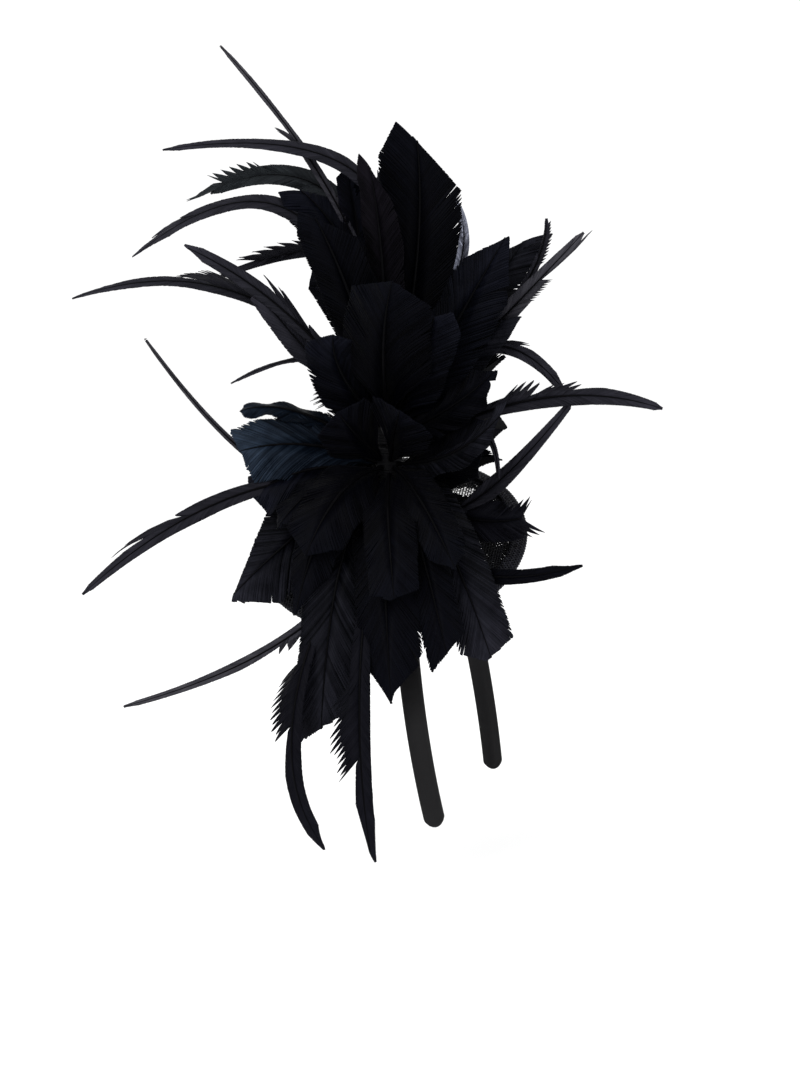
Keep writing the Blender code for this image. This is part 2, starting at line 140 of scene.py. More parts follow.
def sweep(paths, face, section, width, depth, lay):
    """Many strands at once, each with its section swept along its own path.

    paths, face and lay are (strands, stations, 3). section lists the corners as shares
    of half the width across the strand, and of the depth along face.
    """
    strands, stations = paths.shape[:2]
    side = np.cross(unit(np.gradient(paths, axis=1)), face)
    section = np.asarray(section)[::-1]
    corners = len(section)
    across = np.broadcast_to(width, (strands, stations))[..., None, None] / 2
    deep = np.broadcast_to(depth, (strands, stations))[..., None, None]
    points = (paths[:, :, None] + side[:, :, None] * across * section[:, 0, None]
              + face[:, :, None] * deep * section[:, 1, None])
    place = np.arange(strands * stations * corners).reshape(strands, stations, corners)
    faces = walls_between(place[:, :-1], place[:, 1:])
    faces += place[:, 0, ::-1].tolist() + place[:, -1].tolist()
    repeated = np.broadcast_to(lay[:, :, None], points.shape)
    return points.reshape(-1, 3), faces, repeated.reshape(-1, 3)


def new_object(name, data):
    made = bpy.data.objects.new(name, data)
    bpy.context.scene.collection.objects.link(made)
    return made


def new_piece(name, parts, materials, node):
    """One piece of the fascinator from swept parts, one material for each part."""
    points, faces, lay, slots = [], [], [], []
    count = 0
    for number, (part_points, part_faces, part_lay) in enumerate(parts):
        faces += [[corner + count for corner in face] for face in part_faces]
        slots += [min(number, len(materials) - 1)] * len(part_faces)
        count += len(part_points)
        points.append(part_points)
        lay.append(part_lay)
    mesh = bpy.data.meshes.new(name)
    mesh.from_pydata(np.concatenate(points).tolist(), [], faces)
    for material in materials:
        mesh.materials.append(material)
    mesh.polygons.foreach_set("material_index", slots)
    mesh.shade_smooth()
    mesh.attributes.new("lay", "FLOAT_VECTOR", "POINT").data.foreach_set(
        "vector", np.concatenate(lay).astype(np.float32).ravel())
    piece = new_object(name, mesh)
    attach(piece, "root")
    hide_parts(node)


def unit(vectors):
    return vectors / np.linalg.norm(vectors, axis=-1, keepdims=True)


def over_band(angle, across, height):
    """Points over the band: angle from the crown, share across, height off its inner face."""
    drop = BAND_HEIGHT / (1 - math.cos(BAND_END_ANGLE))
    outward = unit(joined(drop * np.sin(angle), BAND_HALF_SPAN * np.cos(angle)))
    x = BAND_HALF_SPAN * np.sin(angle) + outward[..., 0] * height
    z = drop * (np.cos(angle) - 1) + outward[..., 1] * height
    share = np.abs(angle) / BAND_END_ANGLE
    y = across * (BAND_WIDTH + (BAND_END_WIDTH - BAND_WIDTH) * share) / 2
    cos, sin = math.cos(BAND_LEAN), math.sin(BAND_LEAN)
    return joined(x, y * cos + z * sin, z * cos - y * sin)


def band_section():
    """Corners round the wrapped band, as shares across and shares of its thickness."""
    edge = BAND_THICKNESS / BAND_WIDTH
    turn = np.linspace(-math.pi / 2, math.pi / 2, EDGE_CORNERS)
    right = joined(1 - edge + edge * np.cos(turn), 0.5 + 0.5 * np.sin(turn))
    flat = np.linspace(1 - edge, edge - 1, FLAT_CORNERS + 2)[1:-1]
    top = joined(flat, 1 + RIBBON_CROWN * (1 - flat ** 2))
    left = right[::-1] * (-1, 1)
    under = joined(flat[::-1], 0.0)
    return np.concatenate((right, top, left, under))


def make_headband():
    section = band_section()
    along = np.linspace(-1, 1, BAND_STATIONS)[:, None]
    across, level = section[:, 0][None], section[:, 1][None]
    round_end = BAND_END_WIDTH / 2 / BAND_HEIGHT
    angle = along * (1 - round_end * (1 - np.sqrt(1 - 0.9 * across ** 2))) * BAND_END_ANGLE
    to_end = (1 - np.abs(along)) * ARM_LENGTH
    tab = np.clip((TAB_LENGTH - to_end) / RIBBON_THICKNESS / 4, 0, 1) * RIBBON_THICKNESS
    close, wide = PUCKER_WAVES
    pucker = RIBBON_PUCKER * np.sin(along * close + across * 2.1) * np.sin(along * wide + 1.3)
    seam = np.where((level < 0.2) & (across > SEAM_ACROSS), -RIBBON_THICKNESS, 0.0)
    height = level * BAND_THICKNESS + (tab + pucker) * (2 * level - 1) + seam
    points = over_band(angle, across, height)
    stations, corners = height.shape
    lay = joined(along * ARM_LENGTH * 1000, across * BAND_WIDTH / 2 * 1000,
                 0.5 + 0.1 * np.sin(along * 40 + across))
    place = np.arange(stations * corners).reshape(stations, corners)
    faces = [face[::-1] for face in walls_between(place[:-1], place[1:])]
    faces += [place[0].tolist(), place[-1, ::-1].tolist()]
    return points.reshape(-1, 3), faces, lay.reshape(-1, 3)


def satin_ribbon():
    """Black satin: fine crosswise ribs, soft blotches where the glue holds it down."""
    material, shader, lay = new_finish("satin_ribbon", specular_ior_level=0.12, sheen_weight=0.03,
                                       sheen_roughness=0.4)
    ribs = add_step(material, "TexWave", {"Vector": lay, "Scale": 1.4, "Distortion": 0.8,
                                          "Detail": 2.0, "Detail Scale": 1.5})
    blotch = add_step(material, "TexNoise", {"Vector": lay, "Scale": 0.35, "Detail": 3.0})
    colour_between(material, shader, blotch.outputs[0], tinted(SATIN_BLACK, 0.75),
                   tinted(SATIN_BLACK, 1.35))
    roughness_between(material, shader, blotch.outputs[0], 0.34, 0.52)
    raise_relief(material, shader, ribs.outputs["Fac"], 0.00003)
    return material


new_piece("headband_ribbon", [make_headband()], [satin_ribbon()], "headband")


# Sinamay base
# Two layers of stiffened, woven straw cloth, blocked to a shallow round dome and tilted
# over the temple. The threads stand apart, so light shows where the layers line up.

BASE_RADIUS = 0.058
BASE_DOME = 0.007
BASE_WALL = 0.0012
BASE_TILT = math.radians(35)
BASE_UP = Vector((-math.sin(BASE_TILT), 0, math.cos(BASE_TILT)))
BASE_AXES = np.array((Vector((0, 1, 0)).cross(BASE_UP), (0, 1, 0), BASE_UP))
BASE_TOP = max((vert.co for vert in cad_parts["sinamay_base"].data.vertices), key=BASE_UP.dot)
CLEARANCE = 0.0003
BINDING_WIDTH = 0.0065
BINDING_WALL = 0.0010
STRAW_PITCH = 0.00112
STRAW_WIDTH = 0.00056
STRAW_DEPTH = 0.00017
STRAW_RISE = 0.55
STRAW_JITTER = 0.03
STRAW_DRIFT = 0.07
STRAW_WANDER = 0.12
STRAW_UNEVEN = (0.12, 0.05)
STRAW_WAVES = (190, 700)
SHORTEST_RUN = 4
LINING_PITCH = 0.00112
LINING_WIDTH = 0.00098
LINING_TURN = math.radians(38)
WINDOW_PLACE = (0.026, -0.028)
WINDOW_RADIUS = 0.0095
STRAW_BLACK = (0.0034, 0.0035, 0.0050)
STRAW_SECTION = ((1, 0), (0, 0.5), (-1, 0), (0, -0.5))


def on_dome(x, y, depth):
    """Places and normals of the dome: x up its slope, y back, depth under its top."""
    slope = -2 * BASE_DOME / BASE_RADIUS ** 2
    normal = unit(joined(-slope * x, -slope * y, np.ones_like(x)))
    place = joined(x, y, slope / 2 * (x * x + y * y)) - normal * depth[..., None]
    return place @ BASE_AXES + np.array(BASE_TOP), normal @ BASE_AXES


def straw_threads(pitch, straw_width, turn, depth, odd, draws, window=False):
    """One set of parallel threads laid over the dome, rising and falling through the weave."""
    rim = BASE_RADIUS - BINDING_WALL - 2 * CLEARANCE
    parts = []
    for line in np.arange(-rim + pitch, rim - pitch / 2, pitch):
        half = math.sqrt(rim ** 2 - line ** 2)
        crossings = np.arange(-math.floor(half / pitch), math.floor(half / pitch) + 1)
        if len(crossings) < SHORTEST_RUN:
            continue
        along = crossings * pitch + draws.normal(0, pitch * STRAW_JITTER, len(crossings))
        drift = line + draws.normal(0, pitch * STRAW_DRIFT)
        wave = np.sin(along * STRAW_WAVES[0] + line * STRAW_WAVES[1])
        drift = drift + pitch * STRAW_WANDER * wave
        x = along * math.cos(turn) - drift * math.sin(turn)
        y = along * math.sin(turn) + drift * math.cos(turn)
        over = (-1.0) ** (crossings + round(line / pitch) + odd)
        runs = [np.arange(len(along))]
        if window:
            out = np.hypot(x - WINDOW_PLACE[0], y - WINDOW_PLACE[1]) > WINDOW_RADIUS
            edges = np.flatnonzero(np.diff(out)) + 1
            runs = [run for run in np.split(runs[0], edges)
                    if out[run[0]] and len(run) >= SHORTEST_RUN]
        for run in runs:
            path, normal = on_dome(x[run], y[run], depth - over[run] * STRAW_DEPTH * STRAW_RISE)
            width = straw_width * (1 + draws.normal(0, STRAW_UNEVEN[0]))
            width = width * (1 + draws.normal(0, STRAW_UNEVEN[1], len(run)))
            tone = np.full(len(run), draws.random())
            lay = joined(along[run] * 1000, drift[run] * 1000, tone)
            parts.append(sweep(path[None], normal[None], STRAW_SECTION, width[None],
                               STRAW_DEPTH, lay[None]))
    return gathered(parts)


def gathered(parts):
    """Several swept parts as one."""
    starts = np.cumsum([0] + [len(points) for points, _, _ in parts])
    faces = [[corner + start for corner in face]
             for (_, part_faces, _), start in zip(parts, starts.tolist()) for face in part_faces]
    return (np.concatenate([points for points, _, _ in parts]), faces,
            np.concatenate([lay for _, _, lay in parts]))


def straw_cloth(name, black):
    """Dyed straw: each thread its own depth of black, its dry gloss broken up along it."""
    material, shader, lay = new_finish(name, specular_ior_level=0.08)
    threads = add_step(material, "SeparateXYZ", {"Vector": lay})
    fibre = add_step(material, "TexNoise", {"Vector": lay, "Scale": 2.2, "Detail": 4.0})
    mixed = add_step(material, "Math", {0: threads.outputs["Z"], 1: fibre.outputs[0]},
                     operation="MULTIPLY")
    colour_between(material, shader, mixed.outputs[0], tinted(black, 0.5), tinted(black, 2.2))
    roughness_between(material, shader, fibre.outputs[0], 0.3, 0.6)
    raise_relief(material, shader, fibre.outputs[0], 0.00005)
    return material


def make_sinamay_base():
    straw = straw_cloth("sinamay_straw", STRAW_BLACK)
    draws = np.random.default_rng(11)
    upper, lower = STRAW_DEPTH * 1.2, BASE_WALL - STRAW_DEPTH * 1.2
    warp = straw_threads(STRAW_PITCH, STRAW_WIDTH, 0, upper, 0, draws)
    weft = straw_threads(STRAW_PITCH, STRAW_WIDTH, math.pi / 2, upper, 1, draws)
    new_piece("sinamay_top_warp", [warp], [straw], "sinamay_base")
    new_piece("sinamay_top_weft", [weft], [straw], "sinamay_base")
    lining = [straw_threads(LINING_PITCH, LINING_WIDTH, LINING_TURN + quarter, lower, odd, draws,
                            window=True)
              for odd, quarter in enumerate((0, math.pi / 2))]
    new_piece("sinamay_lining", [gathered(lining)], [straw], "sinamay_base")


make_sinamay_base()


# Binding
# A bias strip of the same straw cloth, folded double and turned over the edge of the
# base, so its threads cross the rim on the diagonal. A row of stitches holds each side.

BIAS_COUNT = 216
BIAS_STATIONS = 17
BIAS_WIDTH = 0.00092
BIAS_DEPTH = 0.00030
BIAS_LEAN = 0.85
BIAS_DRIFT = 0.0015
FOLD_SIZE = (180, 13)
FOLD_DEPTHS = (0.6, 2.2)
RIM_NOSE = BASE_WALL / 2 + CLEARANCE + BINDING_WALL / 2
NOSE_FLATNESS = 0.8
STITCH_LENGTH = 0.0026
STITCH_GAP = 0.0012
STITCH_WIDTH = 0.00042
STITCH_INSET = 0.0014
STITCH_STATIONS = 7
STITCH_DRIFT = 0.004
STITCH_SLIP = 0.008
STITCH_SLANT = 0.02
STITCH_ARCH = (2.2, 14)
STITCH_TAPER = 2.2
THREAD_SECTION = tuple((math.cos(turn), 0.5 * math.sin(turn)) for turn in round_circle(6))
THREAD_BLACK = (0.0012, 0.0012, 0.0018)


def round_rim(share, turn, lift):
    """Places on the folded strip: share from its top edge round the rim to its lower edge."""
    slope = math.atan(2 * BASE_DOME / BASE_RADIUS)
    flat, bend = BINDING_WIDTH - BINDING_WALL, math.pi * RIM_NOSE
    run = share * (2 * flat + bend)
    angle = np.clip((run - flat) / RIM_NOSE, 0, math.pi)
    over, past = run < flat, np.maximum(run - flat - bend, 0)
    bent = run < flat + bend
    nose = np.sin(angle) * RIM_NOSE * NOSE_FLATNESS
    out = np.where(over, run - flat, np.where(bent, nose, -past))
    up = np.where(over, RIM_NOSE, np.where(bent, np.cos(angle) * RIM_NOSE, -RIM_NOSE))
    skin = joined(np.sin(angle), np.cos(angle))
    out, up = out + skin[..., 0] * lift, up + skin[..., 1] * lift - BASE_WALL / 2
    rim = BASE_RADIUS - BINDING_WALL - CLEARANCE
    radius = rim + out * math.cos(slope) + up * math.sin(slope)
    height = -BASE_DOME * (rim / BASE_RADIUS) ** 2 - out * math.sin(slope) + up * math.cos(slope)
    local = joined(radius * np.cos(turn), radius * np.sin(turn), height)
    outward, upward = skin[..., 0], skin[..., 1]
    way = joined(outward * np.cos(turn), outward * np.sin(turn), upward)
    return local @ BASE_AXES + np.array(BASE_TOP), unit(way) @ BASE_AXES


def bias_threads(lean, odd, draws):
    start = round_circle(BIAS_COUNT)[:, None]
    share = np.linspace(0, 1, BIAS_STATIONS)[None]
    strip = 2 * (BINDING_WIDTH - BINDING_WALL) + math.pi * RIM_NOSE
    turn = start + lean * (share - 0.5) * strip / BASE_RADIUS
    turn = turn + draws.normal(0, BIAS_DRIFT, start.shape)
    over = (-1.0) ** (np.arange(BIAS_STATIONS)[None] + odd)
    path, face = round_rim(share, turn, over * BIAS_DEPTH * 0.5)
    lay = joined(share * strip * 1000, turn * BASE_RADIUS * 1000, draws.random(start.shape))
    return sweep(path, face, STRAW_SECTION, BIAS_WIDTH, BIAS_DEPTH, lay)


def folded_strip():
    """The doubled cloth under the outer threads, a closed thin wall round the rim."""
    stations, steps = FOLD_SIZE
    turn = round_circle(stations)
    outer, inner = ([round_rim(share, turn, -BIAS_DEPTH * depth)[0]
                     for share in np.linspace(0, 1, steps)] for depth in FOLD_DEPTHS)
    rings = np.stack(outer + inner[::-1], axis=1)
    place = np.arange(rings.shape[0] * rings.shape[1]).reshape(rings.shape[:2])
    ahead = np.roll(place, -1, axis=0)
    walls = joined(place, ahead, np.roll(ahead, -1, 1), np.roll(place, -1, 1))
    lay = joined(turn[:, None] * BASE_RADIUS * 1000, rings[..., 1] * 1000, 0.3)
    return rings.reshape(-1, 3), walls.reshape(-1, 4).tolist(), lay.reshape(-1, 3)


def stitch_row(share, draws):
    """Hand stitches set end to end round the strip, each a short arched thread."""
    radius = BASE_RADIUS - STITCH_INSET
    count = int(2 * math.pi * radius / (STITCH_LENGTH + STITCH_GAP))
    start = round_circle(count)[:, None] + draws.normal(0, STITCH_DRIFT, (count, 1))
    step = np.linspace(-0.5, 0.5, STITCH_STATIONS)[None]
    turn = start + step * STITCH_LENGTH / radius
    arch = BIAS_DEPTH * (STITCH_ARCH[0] - STITCH_ARCH[1] * step ** 2)
    slip = share + draws.normal(0, STITCH_SLIP, (count, 1)) + step * STITCH_SLANT
    path, face = round_rim(slip, turn, arch)
    thin = STITCH_WIDTH * (1 - STITCH_TAPER * step ** 2)
    lay = joined(turn * BASE_RADIUS * 1000, 0, draws.random(start.shape))
    return sweep(path, face, THREAD_SECTION, thin, thin, lay)


def waxed_thread():
    material, shader, lay = new_finish("waxed_thread", specular_ior_level=0.08)
    ply = add_step(material, "TexWave", {"Vector": lay, "Scale": 0.9, "Distortion": 1.5},
                   bands_direction="DIAGONAL")
    colour_between(material, shader, ply.outputs["Fac"], tinted(THREAD_BLACK, 0.6),
                   tinted(THREAD_BLACK, 1.5))
    roughness_between(material, shader, ply.outputs["Fac"], 0.45, 0.65)
    raise_relief(material, shader, ply.outputs["Fac"], 0.00005)
    return material


def make_binding():
    draws = np.random.default_rng(12)
    # The same straw, darkened to a third for the fold as painted shade between the bias threads,
    # and lightened 2.4 times for the outer threads as painted light on them.
    under = straw_cloth("bias_under_painted_shade", tinted(STRAW_BLACK, 0.3))
    bias = straw_cloth("bias_straw_painted_light", tinted(STRAW_BLACK, 2.4))
    crossed = [bias_threads(BIAS_LEAN, 0, draws), bias_threads(-BIAS_LEAN, 1, draws)]
    inset = STITCH_INSET / (2 * BINDING_WIDTH)
    rows = [stitch_row(inset, draws), stitch_row(1 - inset, draws)]
    for name, parts, material in (("binding_fold", [folded_strip()], under),
                                  ("binding_threads", crossed, bias),
                                  ("binding_stitches", rows, waxed_thread())):
        new_piece(name, [gathered(parts)], [material], "base_binding")


make_binding()


# Stem
# A stiff wire post wound from top to bottom with waxed black thread. It ends in a round
# felt foot pad, which is sewn through the top of the base.

STEM_RADIUS = 0.0025
STEM_HEIGHT = 0.070
FOOT_RADIUS = 0.011
FOOT_THICKNESS = 0.0036
STEM_FOOT = np.array(BASE_TOP + BASE_UP * (CLEARANCE + FOOT_THICKNESS))
WINDING = 0.00055
WINDING_CROWDING = 1.08
WINDING_WANDER = 0.00006
WINDING_CLIMB = 0.00008
WINDING_FUZZ = 0.00002
TURN_STATIONS = 18
POST_SEGMENTS = 16
PAD_SEGMENTS = 96
PAD_RINGS = 22
PAD_STITCHES = 14
PAD_STITCH_START = 0.72
PAD_STITCH_SPAN = 0.32
PAD_STITCH_STATIONS = 8
UPRIGHT = np.array((0.0, 0.0, 1.0))
FELT_BLACK = (0.004, 0.004, 0.005)


def wound_thread(radius, low, high, pitch, draws):
    """One thread wound close round the post from a low to a high place on it."""
    turns = (high - low) / pitch
    angle = np.linspace(0, 2 * math.pi * turns, int(turns * TURN_STATIONS))
    wander = radius + WINDING_WANDER * np.sin(angle * 0.31)
    wander = wander + draws.normal(0, WINDING_FUZZ, angle.shape)
    climb = np.linspace(low, high, len(angle)) + WINDING_CLIMB * np.sin(angle * 0.53)
    path = joined(wander * np.cos(angle), wander * np.sin(angle), climb) + STEM_FOOT
    face = joined(np.cos(angle), np.sin(angle), 0)
    lay = joined(angle * radius * 1000, climb * 1000, 0.5 + 0.3 * np.sin(angle * 0.7))
    thick = pitch * WINDING_CROWDING
    return sweep(path[None], face[None], THREAD_SECTION, thick, thick, lay[None])


def standing_axes(up):
    """The axes of a part that stands along up."""
    side = unit(np.cross((0.0, 1.0, 0.0), up))
    return np.array((side, np.cross(up, side), up))


def turned_shape(profile, segments, place, up):
    """A closed shape turned round an axis through place, from (radius, height) pairs."""
    angle = round_circle(segments)[:, None]
    radius, height = np.array(profile).T[:, None]
    local = joined(radius * np.cos(angle), radius * np.sin(angle), height)
    rings = local @ standing_axes(up) + place
    index = np.arange(rings.shape[0] * rings.shape[1]).reshape(rings.shape[:2])
    ahead = np.roll(index, -1, axis=0)
    walls = joined(index[:, :-1], ahead[:, :-1], ahead[:, 1:], index[:, 1:])
    faces = walls.reshape(-1, 4).tolist() + [index[::-1, 0].tolist(), index[:, -1].tolist()]
    return rings.reshape(-1, 3), faces, local.reshape(-1, 3) * 1000


def felt():
    material, shader, lay = new_finish("black_felt", specular_ior_level=0.1, sheen_weight=0.12,
                                       sheen_roughness=0.6)
    fibres = add_step(material, "TexNoise", {"Vector": lay, "Scale": 3.5, "Detail": 6.0})
    colour_between(material, shader, fibres.outputs[0], tinted(FELT_BLACK, 0.6),
                   tinted(FELT_BLACK, 1.6))
    roughness_between(material, shader, fibres.outputs[0], 0.75, 0.95)
    raise_relief(material, shader, fibres.outputs[0], 0.0002)
    return material


def pad_stitches(place, up):
    """Stitches from inside the pad's rim, over its edge and down to the straw."""
    turn = round_circle(PAD_STITCHES)[:, None]
    step = np.linspace(0, 1, PAD_STITCH_STATIONS)[None]
    radius = FOOT_RADIUS * (PAD_STITCH_START + PAD_STITCH_SPAN * step)
    height = FOOT_THICKNESS * (1 - step ** 4) + STITCH_WIDTH * 0.3
    axes = standing_axes(up)
    local = joined(radius * np.cos(turn), radius * np.sin(turn), height)
    path = local @ axes + place
    across = joined(-np.sin(turn), np.cos(turn), 0) @ axes
    face = np.cross(across, unit(np.gradient(path, axis=1)))
    lay = joined(step * 4, turn, 0.5)
    return sweep(path, face, THREAD_SECTION, STITCH_WIDTH, STITCH_WIDTH, lay)


def make_stem():
    draws = np.random.default_rng(13)
    thread = bpy.data.materials["waxed_thread"]
    sink = STEM_RADIUS * math.tan(BASE_TILT)
    core = STEM_RADIUS - WINDING * 0.5
    wire = [(core * 0.3, -sink), (core, -sink), (core, STEM_HEIGHT - 0.001),
            (core * 0.6, STEM_HEIGHT), (core * 0.2, STEM_HEIGHT)]
    post = turned_shape(wire, POST_SEGMENTS, STEM_FOOT, UPRIGHT)
    wound = wound_thread(STEM_RADIUS - WINDING * 0.35, -sink * 0.4, STEM_HEIGHT - WINDING,
                         WINDING, draws)
    new_piece("stem_winding", [gathered([post, wound])], [thread], "stem")
    edge = FOOT_THICKNESS * 0.42
    turn = np.linspace(-math.pi / 2, math.pi / 2, 9)
    side = [(FOOT_RADIUS - edge * (1 - math.cos(t)), FOOT_THICKNESS / 2 * (1 + math.sin(t)))
            for t in turn]
    inner = np.linspace(0.04, 0.9, PAD_RINGS)
    top = [(FOOT_RADIUS * share, FOOT_THICKNESS) for share in inner[::-1]]
    base = [(FOOT_RADIUS * share, 0.0) for share in inner]
    base_up = np.array(BASE_UP)
    place = np.array(BASE_TOP) + base_up * CLEARANCE
    pad = turned_shape(base + side + top, PAD_SEGMENTS, place, base_up)
    new_piece("foot_pad", [pad], [felt()], "stem")
    new_piece("foot_pad_stitches", [pad_stitches(place, base_up)], [thread],
              "stem")


make_stem()


# Collar plume
# The widest bunch, low on the post: goose feathers dyed black, their tips cut square,
# round or slanted with scissors, and slim cock feathers between them. Thread and wire
# bind the quills round the post, and the longest cock feathers hang below the base.

PLUME_REACH = 0.150
PLUME_HEIGHT = 0.200
BROAD_WIDTH = 0.036
SLIM_WIDTH = 0.0075
QUILL_WIDTH = 0.0024
SLEEVE_WALL = 0.0028
COLLAR_SLEEVE = (0.16, 0.46)
BARB_SECTION = ((1, -0.15), (0.1, 0.6), (-1, -0.4))
QUILL_STATIONS = 36
QUILL_LIFT = 0.0001
QUILL_POINT = 0.00025
FACING_LIFT = 0.35
BUTT_LENGTH = 0.003
BUTT_WIDTH = 0.0013
SLEEVE_SEGMENTS = 28
BARB_OVERLAP = 1.5
BARB_DEPTH = 0.00030
BARB_STRAY = 0.00005
BARB_SHORTEST = 0.014
LOCK_SHORTEST = 0.035
LOCK_PARTING = 0.3
FRINGE_CLING = 0.92
FRINGE_DROOP = 0.004
WORN_LENGTH = 0.10
WORN_REACH = 0.45
QUILL_TRIM = 0.003
CUT_STEPS = 32
LEAN_CURVE = 0.85
LEAN_SPREAD = 0.02
BARB_CURVE = 1.7
HOOKED_TAPER = 0.75
LOOSE_TAPER = 0.88
CUT_TAPER = 0.2
FRINGE_SWELL = 0.3
STREAK_DEPTH = 0.16
STREAK_NOISE = 0.09
# Barb tone along the quill: low at the root as painted shade where the feathers crowd the post,
# rising to painted light at the tip.
ROOT_PAINTED_SHADE_TONE = 0.08
TIP_PAINTED_LIGHT = 0.82
BROAD = dict(bare=0.02, full=0.36, tip=0.86, fold=0.22, pitch=0.00080, sweep=40, stations=6,
             clump=11, ripple=0.0010, quill=0.0017)
SLIM = dict(bare=0.20, full=0.60, tip=0.22, fold=0.0, pitch=0.00085, sweep=26, stations=5,
            clump=5, ripple=0.0003, quill=0.0012)
KINDS = {"broad": BROAD, "slim": SLIM, "biot": SLIM | dict(tip=0.60)}
# Each cut: where its point lies across the tip, then how much of the length is cut away
# at the left edge and at the right edge.
CUTS = {
    "point": (0.0, 0.03, 0.03),
    "spear": (0.1, 0.20, 0.24),
    "spear_left": (-0.5, 0.14, 0.30),
    "spear_right": (0.5, 0.30, 0.14),
    "slant_left": (-0.9, 0.02, 0.26),
    "slant_right": (0.9, 0.26, 0.02),
    "corner": (0.9, 0.09, 0.01),
    "wide_spear": (-0.1, 0.16, 0.45),
    "long_spear": (-0.4, 0.14, 0.20),
    "sliver": (0.3, 0.10, 0.08),
    "square": (0.2, 0.04, 0.04),
    "round": (0.0, 0.12, 0.12),
}
# A feather's root is a share of the post's height. Its tip and its bow are shares of
# PLUME_REACH and PLUME_HEIGHT, its width is a share of its kind's, its turn is in degrees.
COLUMNS = (
    "name", "kind", "root", "back", "up", "out",
    "bow_back", "bow_up", "bow_out", "width", "turn", "cut",
)
COLLAR = (
    ("light_petal", "broad", 0.36, -0.385, 0.26, 0.26, -0.05, -0.06, 0.08, 0.56, -34, "spear_left"),
    ("front_broad", "broad", 0.32, -0.33, 0.2, 0.16, 0, -0.03, 0.04, 0.72, 10, "spear_left"),
    ("blue_broad", "broad", 0.36, 0.42, 0.15, 0.13, 0, 0.06, 0.03, 0.92, 12, "corner"),
    ("arched_small", "broad", 0.4, 0.43, 0.235, 0.03, 0.05, 0.09, 0, 0.34, 40, "square"),
    ("blue_tip", "broad", 0.4, 0.18, 0.21, -0.05, 0.02, 0, 0, 0.44, 0, "spear"),
    ("post_left", "broad", 0.38, 0.11, 0.24, 0.17, 0, 0, 0.05, 0.8, 0, "round"),
    ("post_front", "broad", 0.38, -0.075, 0.245, 0.21, 0, 0, 0.05, 0.95, 0, "round"),
    ("post_back", "broad", 0.38, -0.05, 0.24, -0.16, 0, 0, -0.04, 0.95, 0, "round"),
    ("left_broad", "broad", 0.3, 0.365, 0.06, 0.15, 0, 0.07, 0.04, 0.8, 20, "square"),
    ("cupped_petal", "broad", 0.28, 0.26, 0, 0.26, 0.02, 0.08, 0.08, 0.64, 30, "round"),
    ("left_low", "broad", 0.26, 0.4, -0.15, 0.26, 0, 0.04, 0.08, 1, -6, "wide_spear"),
    ("hanging_square", "broad", 0.24, 0.12, -0.445, 0.34, 0.03, 0.22, 0.16, 0.78, 0, "corner"),
    ("hanging_tuck", "broad", 0.24, 0.2, -0.18, 0.3, 0.02, 0.15, 0.12, 0.62, 10, "spear"),
    ("hanging_notch", "broad", 0.22, -0.085, -0.345, 0.37, 0, 0.22, 0.16, 0.84, 6, "round"),
    ("hanging_front", "broad", 0.24, -0.245, -0.27, 0.36, 0, 0.18, 0.14, 0.56, 0, "corner"),
    ("hanging_ragged", "broad", 0.26, -0.35, -0.255, 0.31, 0, 0.18, 0.12, 0.74, -8, "square"),
    ("folded_small", "broad", 0.3, -0.1, -0.13, 0.4, 0, 0.1, 0.1, 0.66, 0, "square"),
    ("rounded_small", "broad", 0.34, -0.26, -0.07, 0.36, 0, 0.08, 0.1, 0.54, 0, "round"),
    ("left_fill_low", "broad", 0.34, 0.16, -0.05, 0.34, 0, 0.08, 0.1, 0.8, 0, "round"),
    ("far_front_a", "broad", 0.3, -0.28, 0.19, -0.32, 0, 0.06, -0.04, 0.84, 10, "spear"),
    ("far_middle", "broad", 0.32, 0.02, 0.21, -0.42, 0, 0.08, -0.04, 0.9, 0, "round"),
    ("far_back_a", "broad", 0.3, 0.3, 0.16, -0.3, 0, 0.07, -0.04, 0.9, -10, "spear_left"),
    ("far_front_b", "broad", 0.3, -0.28, 0.11, -0.12, 0, 0.05, 0, 0.6, 12, "slant_right"),
    ("far_back_b", "broad", 0.3, 0.38, 0.09, -0.12, 0, 0.06, 0, 0.74, -12, "spear_left"),
    ("thin_left", "slim", 0.42, 0.72, 0.39, 0, -0.12, -0.35, 0, 0.32, 0, "point"),
    ("fork_left", "slim", 0.26, 0.82, -0.145, 0.28, -0.01, 0.17, 0.06, 1, -10, "point"),
    ("low_left", "slim", 0.22, 0.69, -0.375, 0.32, -0.42, -0.06, 0.22, 0.65, 0, "point"),
    ("drop_left", "biot", 0.2, 0.1, -0.655, 0.35, 0.255, -0.11, 0.37, 1.2, 20, "sliver"),
    ("drop_middle", "biot", 0.2, -0.035, -0.7, 0.36, 0.04, 0.05, 0.36, 1.2, -10, "long_spear"),
    ("low_front", "biot", 0.24, -0.59, -0.06, 0.26, 0.15, -0.18, 0.1, 0.9, 20, "sliver"),
    ("long_front", "slim", 0.42, -0.79, 0.252, 0.16, -0.04, 0.135, 0.04, 1.15, 20, "point"),
    ("thin_front", "slim", 0.44, -0.33, 0.1, 0.1, -0.14, 0.17, 0, 0.35, 0, "point"),
    ("lance_front", "slim", 0.2, -0.54, 0.27, 0.1, 0.12, -0.26, 0.02, 1.15, 0, "point"),
    ("ragged_low", "broad", 0.2, -0.435, 0.03, 0.1, -0.03, -0.07, 0.03, 0.52, 10, "slant_right"),
)
